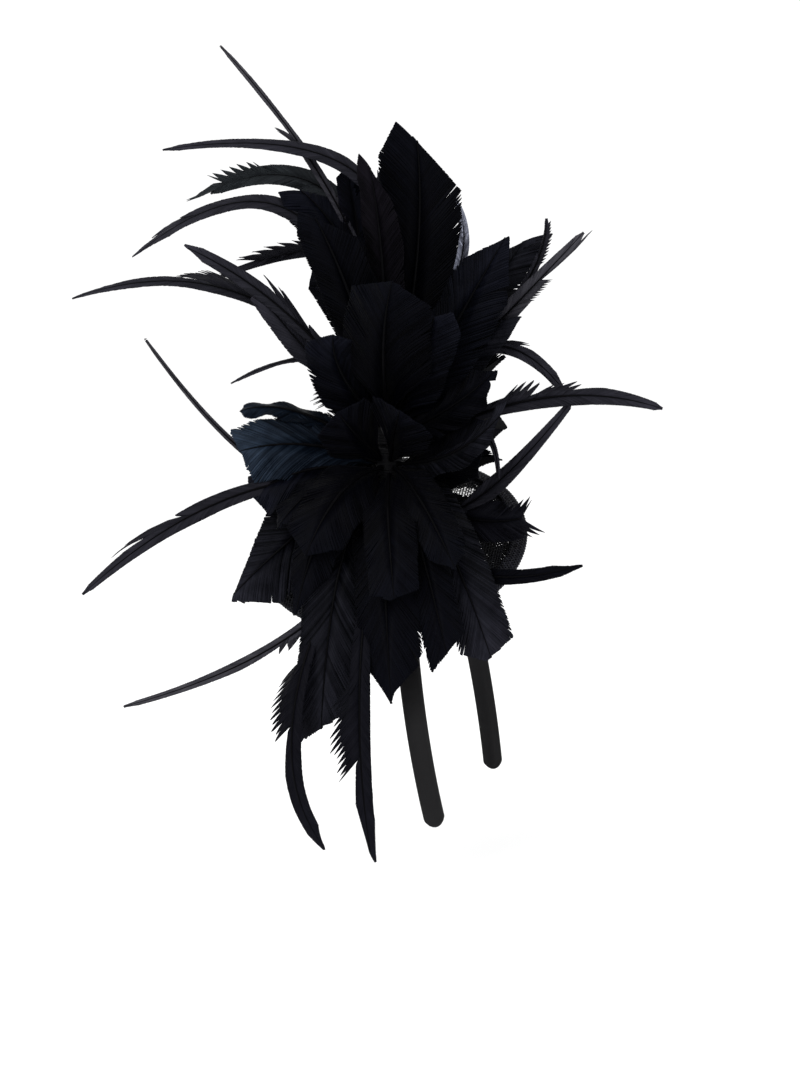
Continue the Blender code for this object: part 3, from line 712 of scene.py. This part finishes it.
# Loose fringes left on some feathers, each with the side of the quill, where it starts
# and stops as shares of the quill, how far it reaches and how far it sweeps along, both
# in metres, and how many barbs cling together in a lock.
COLLAR_FRINGE = {
    "fork_left": ((1, 0.62, 0.7, 0.0088, 0.03, 12),),
    "low_left": ((-1, 0.5, 0.61, 0.0038, 0.009, 12),),
    "drop_left": ((1, 0.38, 0.56, 0.0135, 0.013, 4),),
    "drop_middle": ((1, 0.5, 0.7, 0.0125, 0.015, 4),),
    "long_front": ((-1, 0.36, 0.46, 0.0068, 0.011, 5), (-1, 0.48, 0.6, 0.0056, 0.013, 6)),
    "lance_front": ((1, 0, 0.46, 0.0042, 0.01, 2), (-1, 0, 0.46, 0.0046, 0.01, 2)),
    "ragged_low": ((1, 0.72, 0.95, 0.0095, 0.01, 4), (-1, 0.66, 0.95, 0.009, 0.008, 5)),
}
# The feathers of each dye bath. The rest of them are jet black.
COLLAR_DYES = {
    "teal_black_painted_highlight": "blue_broad", "teal_deep": "blue_tip arched_small",
    "blue_black": "left_broad far_middle",
    "soft_black_painted_tip_light": "light_petal hanging_square hanging_ragged left_low",
    "cock_grey_painted_light": "low_left thin_left",
    "cock_black_painted_light": "fork_left lance_front long_front thin_front",
    "cock_deep": "drop_left drop_middle ragged_low",
}
QUILL_BLACKS = (0.0004, 0.0004, 0.0006), (0.0016, 0.0015, 0.0020)
# Each dye bath's colour in thousandths, first near the quill's root and then at the tip. The dark
# root colour is painted shade where the feathers crowd the post, and the lighter tip colour is
# painted light where the thin tips catch it.
DYES = {
    "jet_black": ((0.3, 0.3, 0.8), (1.5, 1.7, 3.4)),
    "blue_black": ((0.3, 0.4, 1.1), (4, 4.4, 8)),
    # This dye's pale tip colour is painted light on the tips of the feathers dyed with it.
    "soft_black_painted_tip_light": ((0.4, 0.5, 1), (11, 11.2, 16)),
    "plum_black": ((1, 0.8, 1.4), (4.2, 3.4, 5.6)),
    "teal_deep": ((1, 1.8, 3.4), (6.2, 10.5, 19)),
    # This dye's tip colour is a painted highlight, streaked along the barbs.
    "teal_black_painted_highlight": ((0.8, 1.8, 4), (17, 26, 42)),
    "cock_deep": ((2, 2, 3.4), (5.5, 5.6, 8.5)),
    # These two cock dyes are lighter than the broad ones: their own tone raised by painted light
    # where the thin barbs let light through.
    "cock_black_painted_light": ((6.8, 6.8, 9.2), (19, 18.5, 25)),
    "cock_grey_painted_light": ((15, 14.8, 19), (42, 41, 48)),
    "smoke_grey": ((12, 13.5, 16), (30, 35, 39)),
    # This pale grey is partly the wisp's own grey and partly painted light, the white surround seen
    # through its sparse barbs.
    "down_grey_painted_light": ((90, 95, 125), (360, 380, 470)),
}


def cut_share(across, cut):
    """Share of the feather's length that is left at a place across its cut tip."""
    point, left, right = cut
    left_of_it = 1 - left * (point - across) / (point + 1)
    right_of_it = 1 - right * (across - point) / (1 - point)
    return np.where(across < point, left_of_it, right_of_it)


def vane_half_width(share, feather):
    """Half width of the vane: bare quill, then widening, then easing to the tip."""
    kind = feather["shape"]
    quill = QUILL_WIDTH / 2
    grown = np.clip((share - kind["bare"]) / (kind["full"] - kind["bare"]), 0, 1)
    eased = np.clip((share - kind["full"]) / (1 - kind["full"]), 0, 1)
    half = quill + (feather["full_width"] / 2 - quill) * np.sin(math.pi / 2 * grown)
    return half * (1 - (1 - kind["tip"]) * eased ** 1.5)


def picked_feather(row):
    """A feather's row with its curve worked out, from its root in the sleeve to its tip."""
    feather = dict(zip(COLUMNS, row))
    feather["shape"] = KINDS[feather["kind"]]
    feather["trim"] = CUTS[feather["cut"]]
    widest = BROAD_WIDTH if feather["kind"] == "broad" else SLIM_WIDTH
    feather["full_width"] = feather["width"] * widest
    reach = np.array((-PLUME_REACH, PLUME_REACH, PLUME_HEIGHT))
    root = STEM_FOOT + (0, 0, feather["root"] * STEM_HEIGHT)
    tip = STEM_FOOT + reach * (feather["out"], feather["back"], feather["up"])
    flat = unit((tip - root) * (1, 1, 0))
    root = root + flat * (STEM_RADIUS + CLEARANCE + SLEEVE_WALL / 2)
    bow = reach * (feather["bow_out"], feather["bow_back"], feather["bow_up"])
    feather["curve"] = root, (root + tip) / 2 + bow, tip
    bends = np.linspace(0, 1, 40)[:, None]
    bend = feather["curve"][1]
    line = root * (1 - bends) ** 2 + bend * 2 * bends * (1 - bends) + tip * bends ** 2
    feather["length"] = np.linalg.norm(np.diff(line, axis=0), axis=1).sum()
    return feather


def on_vane(feather, share, across, lift):
    """Places and normals of a vane, from shares of its quill and places across it."""
    root, bend, tip = feather["curve"]
    at = share[..., None]
    centre = root * (1 - at) ** 2 + bend * 2 * at * (1 - at) + tip * at ** 2
    along = unit((bend - root) * (1 - at) + (tip - bend) * at)
    facing = np.array((-1.0 if feather["out"] >= 0 else 1.0, 0, FACING_LIFT))
    normal = unit(facing - along * (along @ facing)[..., None])
    turn = math.radians(feather["turn"])
    normal = normal * math.cos(turn) + np.cross(along, normal) * math.sin(turn)
    sideways = np.cross(along, normal)
    half = vane_half_width(share, feather)
    fold = feather["shape"]["fold"] * half * np.abs(across)
    place = centre + sideways * (across * half)[..., None] + normal * (lift - fold)[..., None]
    return place, normal


def grown_barbs(feather, hand, fringes, draws):
    """The barbs on one side of the quill: hooked into a vane, parted in places, and cut."""
    kind, cut, length = feather["shape"], feather["trim"], feather["length"]
    half = feather["full_width"] / 2
    end = float(cut_share(0.0, cut)) - QUILL_TRIM
    count = int(end * length / kind["pitch"])
    lean = half / math.tan(math.radians(kind["sweep"])) / length
    lean = lean * (1 + draws.normal(0, LEAN_SPREAD, count))
    start = np.linspace(max(kind["bare"] - lean[0], 0.01), end, count)
    clump = np.cumsum(draws.random(count) < 1 / kind["clump"])
    parted = draws.random(clump[-1] + 1) ** 10 * LOCK_PARTING
    ragged = 1 - draws.random(clump[-1] + 1) ** 3 * LOCK_SHORTEST
    reach = ragged[clump] * (1 - draws.random(count) * BARB_SHORTEST)
    pull = parted[clump]
    loose = np.zeros(count, bool)
    for side, first, last, width, sweep_along, lock in fringes:
        if side != hand:
            continue
        free = (start > first) & (start < last)
        loose |= free
        clump = np.where(free, clump.max() + 1 + np.arange(count) // lock, clump)
        pull = np.where(free, FRINGE_CLING, pull)
        swell = np.sin(math.pi * np.clip((start - first) / (last - first), 0.2, 0.8))
        uneven = (0.85 + 0.2 * draws.random(clump.max() + 1))[clump]
        uneven = uneven * (1 - FRINGE_SWELL + FRINGE_SWELL * swell)
        reach = np.where(free, uneven * width / vane_half_width(start, feather), reach)
        lean = np.where(free, uneven * sweep_along / length, lean)
        worn = (start >= last) & (start < last + WORN_LENGTH)
        regrown = WORN_REACH + (1 - WORN_REACH) * (start - last) / WORN_LENGTH
        reach = np.where(worn, reach * regrown, reach)
    middle = np.bincount(clump, start) / np.maximum(np.bincount(clump), 1)
    trial = np.linspace(0, 1, CUT_STEPS + 1)
    room = cut_share(hand * trial, cut) - start[:, None] - lean[:, None] * trial ** LEAN_CURVE
    past = room < 0
    first = np.clip(past.argmax(1), 1, CUT_STEPS)
    rows = np.arange(count)
    before, after = room[rows, first - 1], room[rows, first]
    met = (first - 1 + before / np.maximum(before - after, 1e-9)) / CUT_STEPS
    cut_off = past.any(1) & ~loose & (met < reach)
    reach = np.where(cut_off, met * (1 - 0.02 * draws.random(count)), reach)
    grow = 1 - (1 - np.linspace(0, 1, kind["stations"])) ** BARB_CURVE
    out = reach[:, None] * grow
    share = start[:, None] + lean[:, None] * np.where(loose[:, None], grow, out ** LEAN_CURVE)
    share += (middle[clump] - start)[:, None] * pull[:, None] * grow ** 2
    wave = np.sin(start * 23 + hand + draws.random() * 6)[:, None]
    lift = kind["ripple"] * wave * out ** 1.5
    lift = lift + draws.normal(0, BARB_STRAY, count)[:, None] * grow
    lift -= np.where(loose[:, None], FRINGE_DROOP, 0.0) * grow ** 2
    path, normal = on_vane(feather, share, hand * out, lift)
    thinned = np.where(loose[:, None], LOOSE_TAPER * grow ** 3, HOOKED_TAPER * grow ** 14)
    thinned = np.where(cut_off[:, None], CUT_TAPER * grow ** 3, thinned)
    width = kind["pitch"] * BARB_OVERLAP * (1 - thinned)
    depth = BARB_DEPTH * (1 - 0.6 * grow)
    streak = STREAK_DEPTH * np.sin(start * 57 + hand) * np.sin(start * 131)
    streak = streak + draws.normal(0, STREAK_NOISE, count)
    # Painted shade at the root and painted light toward the tip, under the barbs' own random
    # streaks.
    tone = streak[:, None] + ROOT_PAINTED_SHADE_TONE + TIP_PAINTED_LIGHT * share ** 4
    lay = joined(share * length * 1000, hand * out * half * 1000, tone)
    return sweep(path, normal, BARB_SECTION, width, depth, lay)


def bare_quill(feather):
    """The quill down the middle, thinning from the bound end to the cut tip."""
    end = float(cut_share(0.0, feather["trim"]))
    share = np.linspace(0, end, QUILL_STATIONS)
    path, normal = on_vane(feather, share, 0, QUILL_LIFT)
    width = feather["shape"]["quill"] * (1 - share) ** 0.8 + QUILL_POINT
    lay = joined(share * feather["length"] * 1000, 0, 0.5)
    return sweep(path[None], normal[None], THREAD_SECTION, width[None], width[None], lay[None])


def dyed_vane(name, dark, light):
    """Dyed barbs: streaks of tone that follow the barbs, over painted shade at the root and painted
    light toward the tip, with a low silky sheen.
    """
    material, shader, lay = new_finish(name, specular_ior_level=0.02, sheen_weight=0.003,
                                       sheen_roughness=0.35)
    barb = add_step(material, "SeparateXYZ", {"Vector": lay})
    streak = add_step(material, "TexNoise", {"Vector": lay, "Scale": 0.16, "Detail": 4.0})
    mixed = add_step(material, "Math", {0: barb.outputs["Z"], 1: streak.outputs[0]},
                     operation="MULTIPLY")
    doubled = add_step(material, "Math", {0: mixed.outputs[0], 1: 2.0}, operation="MULTIPLY")
    colour_between(material, shader, doubled.outputs[0], dark, light)
    roughness_between(material, shader, streak.outputs[0], 0.36, 0.52)
    return material


def horn_quill():
    """The quill's horny skin, dyed nearly black and a little smoother than the vane."""
    material, shader, lay = new_finish("horn_quill", specular_ior_level=0.02)
    skin = add_step(material, "TexNoise", {"Vector": lay, "Scale": 0.3, "Detail": 2.0})
    colour_between(material, shader, skin.outputs[0], *QUILL_BLACKS)
    roughness_between(material, shader, skin.outputs[0], 0.3, 0.42)
    return material


def make_feather(bunch, row, dyes, fringes, seed):
    feather = picked_feather(row)
    draws = np.random.default_rng(seed)
    name = feather["name"]
    vane = gathered([grown_barbs(feather, hand, fringes.get(name, ()), draws) for hand in (-1, 1)])
    dye = next((dye for dye, names in dyes.items() if name in names.split()), "jet_black")
    new_piece(f"{bunch}_{name}", [vane, bare_quill(feather)], [dyed[dye], quill_skin],
              f"{bunch}_plume")


def make_sleeve(bunch, sleeve, quills, seed):
    """Thread wound over the quill butts, which stick out a little at the lower end."""
    draws = np.random.default_rng(seed)
    low, high = (share * STEM_HEIGHT for share in sleeve)
    low += CLEARANCE
    bore, outer = STEM_RADIUS + CLEARANCE, STEM_RADIUS + CLEARANCE + SLEEVE_WALL
    core = [(bore, low), (outer - WINDING, low), (outer - WINDING, high), (bore, high)]
    wound = wound_thread(outer - WINDING / 2, low + WINDING, high - WINDING, WINDING, draws)
    parts = [turned_ring(core, SLEEVE_SEGMENTS, STEM_FOOT, UPRIGHT), wound]
    angle = round_circle(quills) + draws.normal(0, 0.06, quills)
    radius = (bore + outer) / 2 + draws.normal(0, 0.0003, quills)
    foot = low - BUTT_LENGTH * (0.4 + 0.6 * draws.random(quills))
    climb = foot + (low + WINDING - foot) * np.linspace(0, 1, 4)[:, None]
    cos, sin = np.cos(angle), np.sin(angle)
    path = joined(radius * cos, radius * sin, climb).transpose(1, 0, 2) + STEM_FOOT
    face = joined(cos, sin, 0)[:, None] + 0 * path
    width = np.full((quills, 4), BUTT_WIDTH) * (0.8 + 0.4 * draws.random((quills, 1)))
    butts = sweep(path, face, THREAD_SECTION, width, width, path * 1000)
    new_piece(f"{bunch}_sleeve", [gathered(parts), butts],
              [bpy.data.materials["waxed_thread"], quill_skin],
              f"{bunch}_plume")


def turned_ring(profile, segments, place, up):
    """A ring turned round an axis through place, its section closed."""
    points, faces, lay = turned_shape(profile + profile[:1], segments, place, up)
    corners = len(profile) + 1
    kept = np.arange(len(points)).reshape(-1, corners)[:, :-1]
    renumber = np.zeros(len(points), int)
    renumber[kept.ravel()] = np.arange(kept.size)
    renumber[corners - 1::corners] = renumber[0::corners]
    walls = [[int(renumber[corner]) for corner in face] for face in faces[:-2]]
    return points[kept.ravel()], walls, lay[kept.ravel()]


def make_bunch(bunch, rows, dyes, fringes, sleeve, seed):
    make_sleeve(bunch, sleeve, len(rows), seed)
    for number, row in enumerate(rows):
        make_feather(bunch, row, dyes, fringes, seed + 1 + number)


dyed = {name: dyed_vane(name, tinted(dark, 0.001), tinted(light, 0.001))
        for name, (dark, light) in DYES.items()}
quill_skin = horn_quill()
make_bunch("collar", COLLAR, COLLAR_DYES, COLLAR_FRINGE, COLLAR_SLEEVE, 100)


# Middle plume
# The second bunch up the post: broad goose feathers cut to spears and ovals, which hide
# the collar's binding, and long cock feathers that arch out behind and in front.

MIDDLE_SLEEVE = (0.47, 0.74)
MIDDLE = (
    ("centre_oval", "broad", 0.6, -0.06, 0.51, 0.24, 0.02, 0.02, 0.1, 1.1, 0, "round"),
    ("front_spear", "broad", 0.56, -0.355, 0.605, 0.12, 0, 0, 0.04, 0.9, -10, "spear"),
    ("front_behind", "broad", 0.61, -0.42, 0.64, -0.02, -0.02, 0.02, 0, 0.55, 16, "slant_left"),
    ("left_round", "broad", 0.58, 0.12, 0.4, 0.18, 0.07, 0.02, 0.05, 0.74, 10, "round"),
    ("front_low", "broad", 0.54, -0.335, 0.33, 0.16, -0.03, -0.02, 0.04, 0.56, -12, "spear"),
    ("front_fill", "broad", 0.62, -0.18, 0.46, 0.18, 0, 0, 0.06, 0.8, 8, "spear_right"),
    ("left_fill", "broad", 0.62, 0.17, 0.33, 0.06, 0.04, 0.02, 0.02, 0.6, -12, "spear_left"),
    ("far_front_top", "broad", 0.64, -0.22, 0.42, -0.26, -0.02, 0.04, -0.05, 0.8, 8, "spear"),
    ("far_back_top", "broad", 0.62, 0.18, 0.4, -0.3, 0, 0.06, -0.05, 0.84, -12, "round"),
    ("far_front_low", "broad", 0.6, -0.29, 0.32, -0.18, 0, 0.04, 0, 0.66, 14, "slant_right"),
    ("far_back_low", "broad", 0.58, 0.24, 0.35, -0.2, 0, 0.07, 0, 0.74, -10, "spear_left"),
    ("far_side", "broad", 0.6, 0, 0.32, -0.4, 0, 0.12, -0.02, 0.9, 4, "spear"),
    ("streamer_long", "slim", 0.62, 0.91, 0.475, 0.08, -0.13, 0.27, 0.04, 1.05, 30, "point"),
    ("streamer_inner", "biot", 0.62, 0.56, 0.585, 0.14, -0.05, 0.08, 0.04, 0.95, -20, "sliver"),
    ("left_blade", "biot", 0.6, 0.365, 0.495, 0.1, 0.01, -0.01, 0.02, 1.7, 10, "point"),
    ("grey_biot", "slim", 0.5, 0.45, 0.295, 0.05, -0.17, 0.21, 0.02, 0.5, 30, "point"),
    ("curl_wisp", "slim", 0.62, -0.45, 0.64, 0.03, -0.22, 0.06, 0, 0.5, 0, "point"),
    ("fork_front", "slim", 0.6, -0.56, 0.61, 0.07, 0, -0.01, 0.02, 1.1, 10, "point"),
    ("arch_front", "biot", 0.55, -0.515, 0.27, 0.02, 0, 0.285, 0, 0.85, 20, "sliver"),
    ("ragged_front", "broad", 0.58, -0.36, 0.46, 0.07, -0.05, 0, 0.02, 0.4, 0, "slant_right"),
)
MIDDLE_FRINGE = {
    "streamer_long": ((1, 0.44, 0.6, 0.012, 0.026, 3),),
    "streamer_inner": ((1, 0.36, 0.46, 0.005, 0.029, 10),),
    "fork_front": ((1, 0.76, 0.8, 0.008, 0.028, 3), (1, 0.62, 0.76, 0.0042, 0.005, 2)),
    "arch_front": ((-1, 0.53, 0.6, 0.0044, 0.018, 14),),
    "curl_wisp": ((1, 0.7, 0.95, 0.0024, 0.005, 3), (-1, 0.74, 0.92, 0.002, 0.005, 3)),
    "left_blade": ((-1, 0.22, 0.3, 0.009, 0.007, 2),),
}
MIDDLE_DYES = {
    "blue_black": "front_spear front_fill left_round far_front_top",
    "soft_black_painted_tip_light": "front_behind ragged_front",
    "cock_black_painted_light": "streamer_long streamer_inner left_blade grey_biot curl_wisp arch_front",
    "cock_grey_painted_light": "fork_front",
}
make_bunch("middle", MIDDLE, MIDDLE_DYES, MIDDLE_FRINGE, MIDDLE_SLEEVE, 200)


# Crest plume
# The top bunch: tall goose feathers cut to spear points, which stand close together over
# the end of the post, and fine cock feathers that stream away behind them.

CREST_SLEEVE = (0.75, 1.04)
CREST = (
    ("tall_spear", "broad", 0.92, -0.078, 0.85, 0.03, -0.07, 0.02, 0, 1.03, 12, "spear_left"),
    ("tall_lead", "broad", 0.9, 0.045, 0.79, 0.1, -0.05, 0, 0.03, 0.55, -24, "spear_left"),
    ("small_square", "broad", 0.86, 0.125, 0.75, -0.02, 0, 0.02, 0, 0.36, 10, "square"),
    ("left_spear", "broad", 0.88, 0.29, 0.725, 0.04, -0.1, 0.1, 0, 0.78, 18, "spear_left"),
    ("left_grey", "broad", 0.82, 0.2, 0.67, 0.14, -0.02, 0.05, 0.05, 0.7, -8, "spear_left"),
    ("left_tuck", "broad", 0.84, 0.265, 0.565, -0.06, 0, 0.06, 0, 0.46, 20, "slant_left"),
    ("far_tall", "broad", 0.95, -0.05, 0.72, -0.12, 0.02, 0.04, -0.03, 0.86, 10, "spear"),
    ("far_second", "broad", 0.97, 0.08, 0.76, -0.15, 0, 0.02, -0.05, 0.8, -14, "spear_left"),
    ("far_front", "broad", 0.96, -0.165, 0.63, -0.2, 0.02, 0.06, -0.04, 0.74, 16, "slant_right"),
    ("far_back", "broad", 0.93, 0.22, 0.58, -0.22, 0, 0.08, -0.04, 0.78, -10, "spear"),
    ("far_low", "broad", 0.98, 0.03, 0.54, -0.3, 0, 0.16, -0.06, 0.84, 6, "round"),
    ("grey_wisp", "slim", 0.94, -0.165, 0.695, -0.04, -0.2, 0.06, 0, 0.6, 0, "point"),
    ("streamer_top", "slim", 1, 0.49, 1.01, 0, -0.24, -0.05, 0, 0.55, 30, "point"),
    ("streamer_arch", "slim", 1, 0.65, 0.79, 0.04, -0.55, 0.305, 0.02, 1.1, 20, "point"),
    ("streamer_grey", "biot", 1, 0.595, 0.695, -0.08, -0.24, 0.35, -0.07, 1.35, 40, "sliver"),
    ("streamer_left", "biot", 0.84, 0.73, 0.56, 0.08, -0.21, 0.464, 0.04, 1.35, 30, "sliver"),
    ("streamer_split", "slim", 0.9, 0.51, 0.52, -0.04, -0.36, 0.29, -0.02, 0.95, 20, "point"),
)
CREST_FRINGE = {
    "streamer_top": ((-1, 0.69, 0.72, 0.0036, 0.013, 4),),
    "streamer_arch": ((1, 0.3, 0.44, 0.011, 0.014, 3),),
    "streamer_grey": ((1, 0.9, 0.94, 0.004, 0.014, 8), (-1, 0.76, 0.9, 0.0064, 0.008, 5)),
    "streamer_left": ((1, 0.8, 0.87, 0.012, 0.018, 8),),
    "streamer_split": ((-1, 0.66, 0.88, 0.0068, 0.01, 6),),
}
CREST_DYES = {
    "blue_black": "left_spear far_second small_square", "soft_black_painted_tip_light": "left_tuck",
    "plum_black": "tall_lead", "down_grey_painted_light": "grey_wisp", "cock_grey_painted_light": "streamer_top",
    "cock_black_painted_light": "streamer_arch streamer_left streamer_split", "smoke_grey": "streamer_grey",
}
make_bunch("crest", CREST, CREST_DYES, CREST_FRINGE, CREST_SLEEVE, 300)


# Studio
# A plain pale floor, an even white surround and two large soft lamps. The camera stands
# level with the feathers, off the wearer's right side, where the photograph was taken from.

FLOOR_SIZE = 12.0
FLOOR_DROP = 0.006
FLOOR_PALE = (0.95, 0.95, 0.95, 1)
SURROUND_STRENGTH = 1.06
SURROUND_WHITE = (1, 1, 1, 1)
LAMP_TARGET = (0, 0, 0.05)
SENSOR_WIDTH = 36
CAMERA_DISTANCE = 1.150
CAMERA_SWING = math.radians(12)
CAMERA_RISE = math.radians(5)
FOCAL_PIXELS = 2622
PHOTO_SIZE = (800, 1067)
ORIGIN_PIXEL = (420, 511)


def make_floor():
    mesh = bpy.data.meshes.new("floor")
    half = FLOOR_SIZE / 2
    height = cad_box[0][2] - FLOOR_DROP
    mesh.from_pydata([(-half, -half, height), (half, -half, height), (half, half, height),
                      (-half, half, height)], [], [(0, 1, 2, 3)])
    floor = new_object("floor", mesh)
    material = bpy.data.materials.new("pale_floor")
    material.use_nodes = True
    shader = material.node_tree.nodes["Principled BSDF"]
    shader.inputs["Base Color"].default_value = FLOOR_PALE
    shader.inputs["Roughness"].default_value = 0.8
    mesh.materials.append(material)


def make_lamp(name, place, size, power):
    lamp = bpy.data.lights.new(name, "AREA")
    lamp.size = size
    lamp.energy = power
    holder = new_object(name, lamp)
    holder.location = place
    ahead = Vector(LAMP_TARGET) - Vector(place)
    holder.rotation_euler = ahead.to_track_quat("-Z", "Y").to_euler()


def make_camera():
    ahead = Vector((math.cos(CAMERA_SWING) * math.cos(CAMERA_RISE),
                    math.sin(CAMERA_SWING) * math.cos(CAMERA_RISE), -math.sin(CAMERA_RISE)))
    right = Vector((math.sin(CAMERA_SWING), -math.cos(CAMERA_SWING), 0))
    up = right.cross(ahead)
    scale = CAMERA_DISTANCE / FOCAL_PIXELS
    shift_right = (ORIGIN_PIXEL[0] - PHOTO_SIZE[0] / 2) * scale
    shift_up = (PHOTO_SIZE[1] / 2 - ORIGIN_PIXEL[1]) * scale
    lens = bpy.data.cameras.new("camera")
    lens.sensor_width = SENSOR_WIDTH
    lens.lens = FOCAL_PIXELS / max(PHOTO_SIZE) * lens.sensor_width
    lens.clip_start = 0.05
    camera = new_object("camera", lens)
    camera.location = -CAMERA_DISTANCE * ahead - shift_right * right - shift_up * up
    camera.rotation_euler = ahead.to_track_quat("-Z", "Y").to_euler()
    bpy.context.scene.camera = camera


make_floor()
make_lamp("key_lamp", (-1.6, 0.9, 1.5), 1.6, 34)
make_lamp("fill_lamp", (-1.2, -1.6, 0.6), 1.4, 14)
surround = bpy.data.worlds.new("surround")
surround.use_nodes = True
background = surround.node_tree.nodes["Background"]
background.inputs["Color"].default_value = SURROUND_WHITE
background.inputs["Strength"].default_value = SURROUND_STRENGTH
bpy.context.scene.world = surround
bpy.context.scene.view_settings.view_transform = "Standard"
make_camera()

bpy.context.view_layer.update()
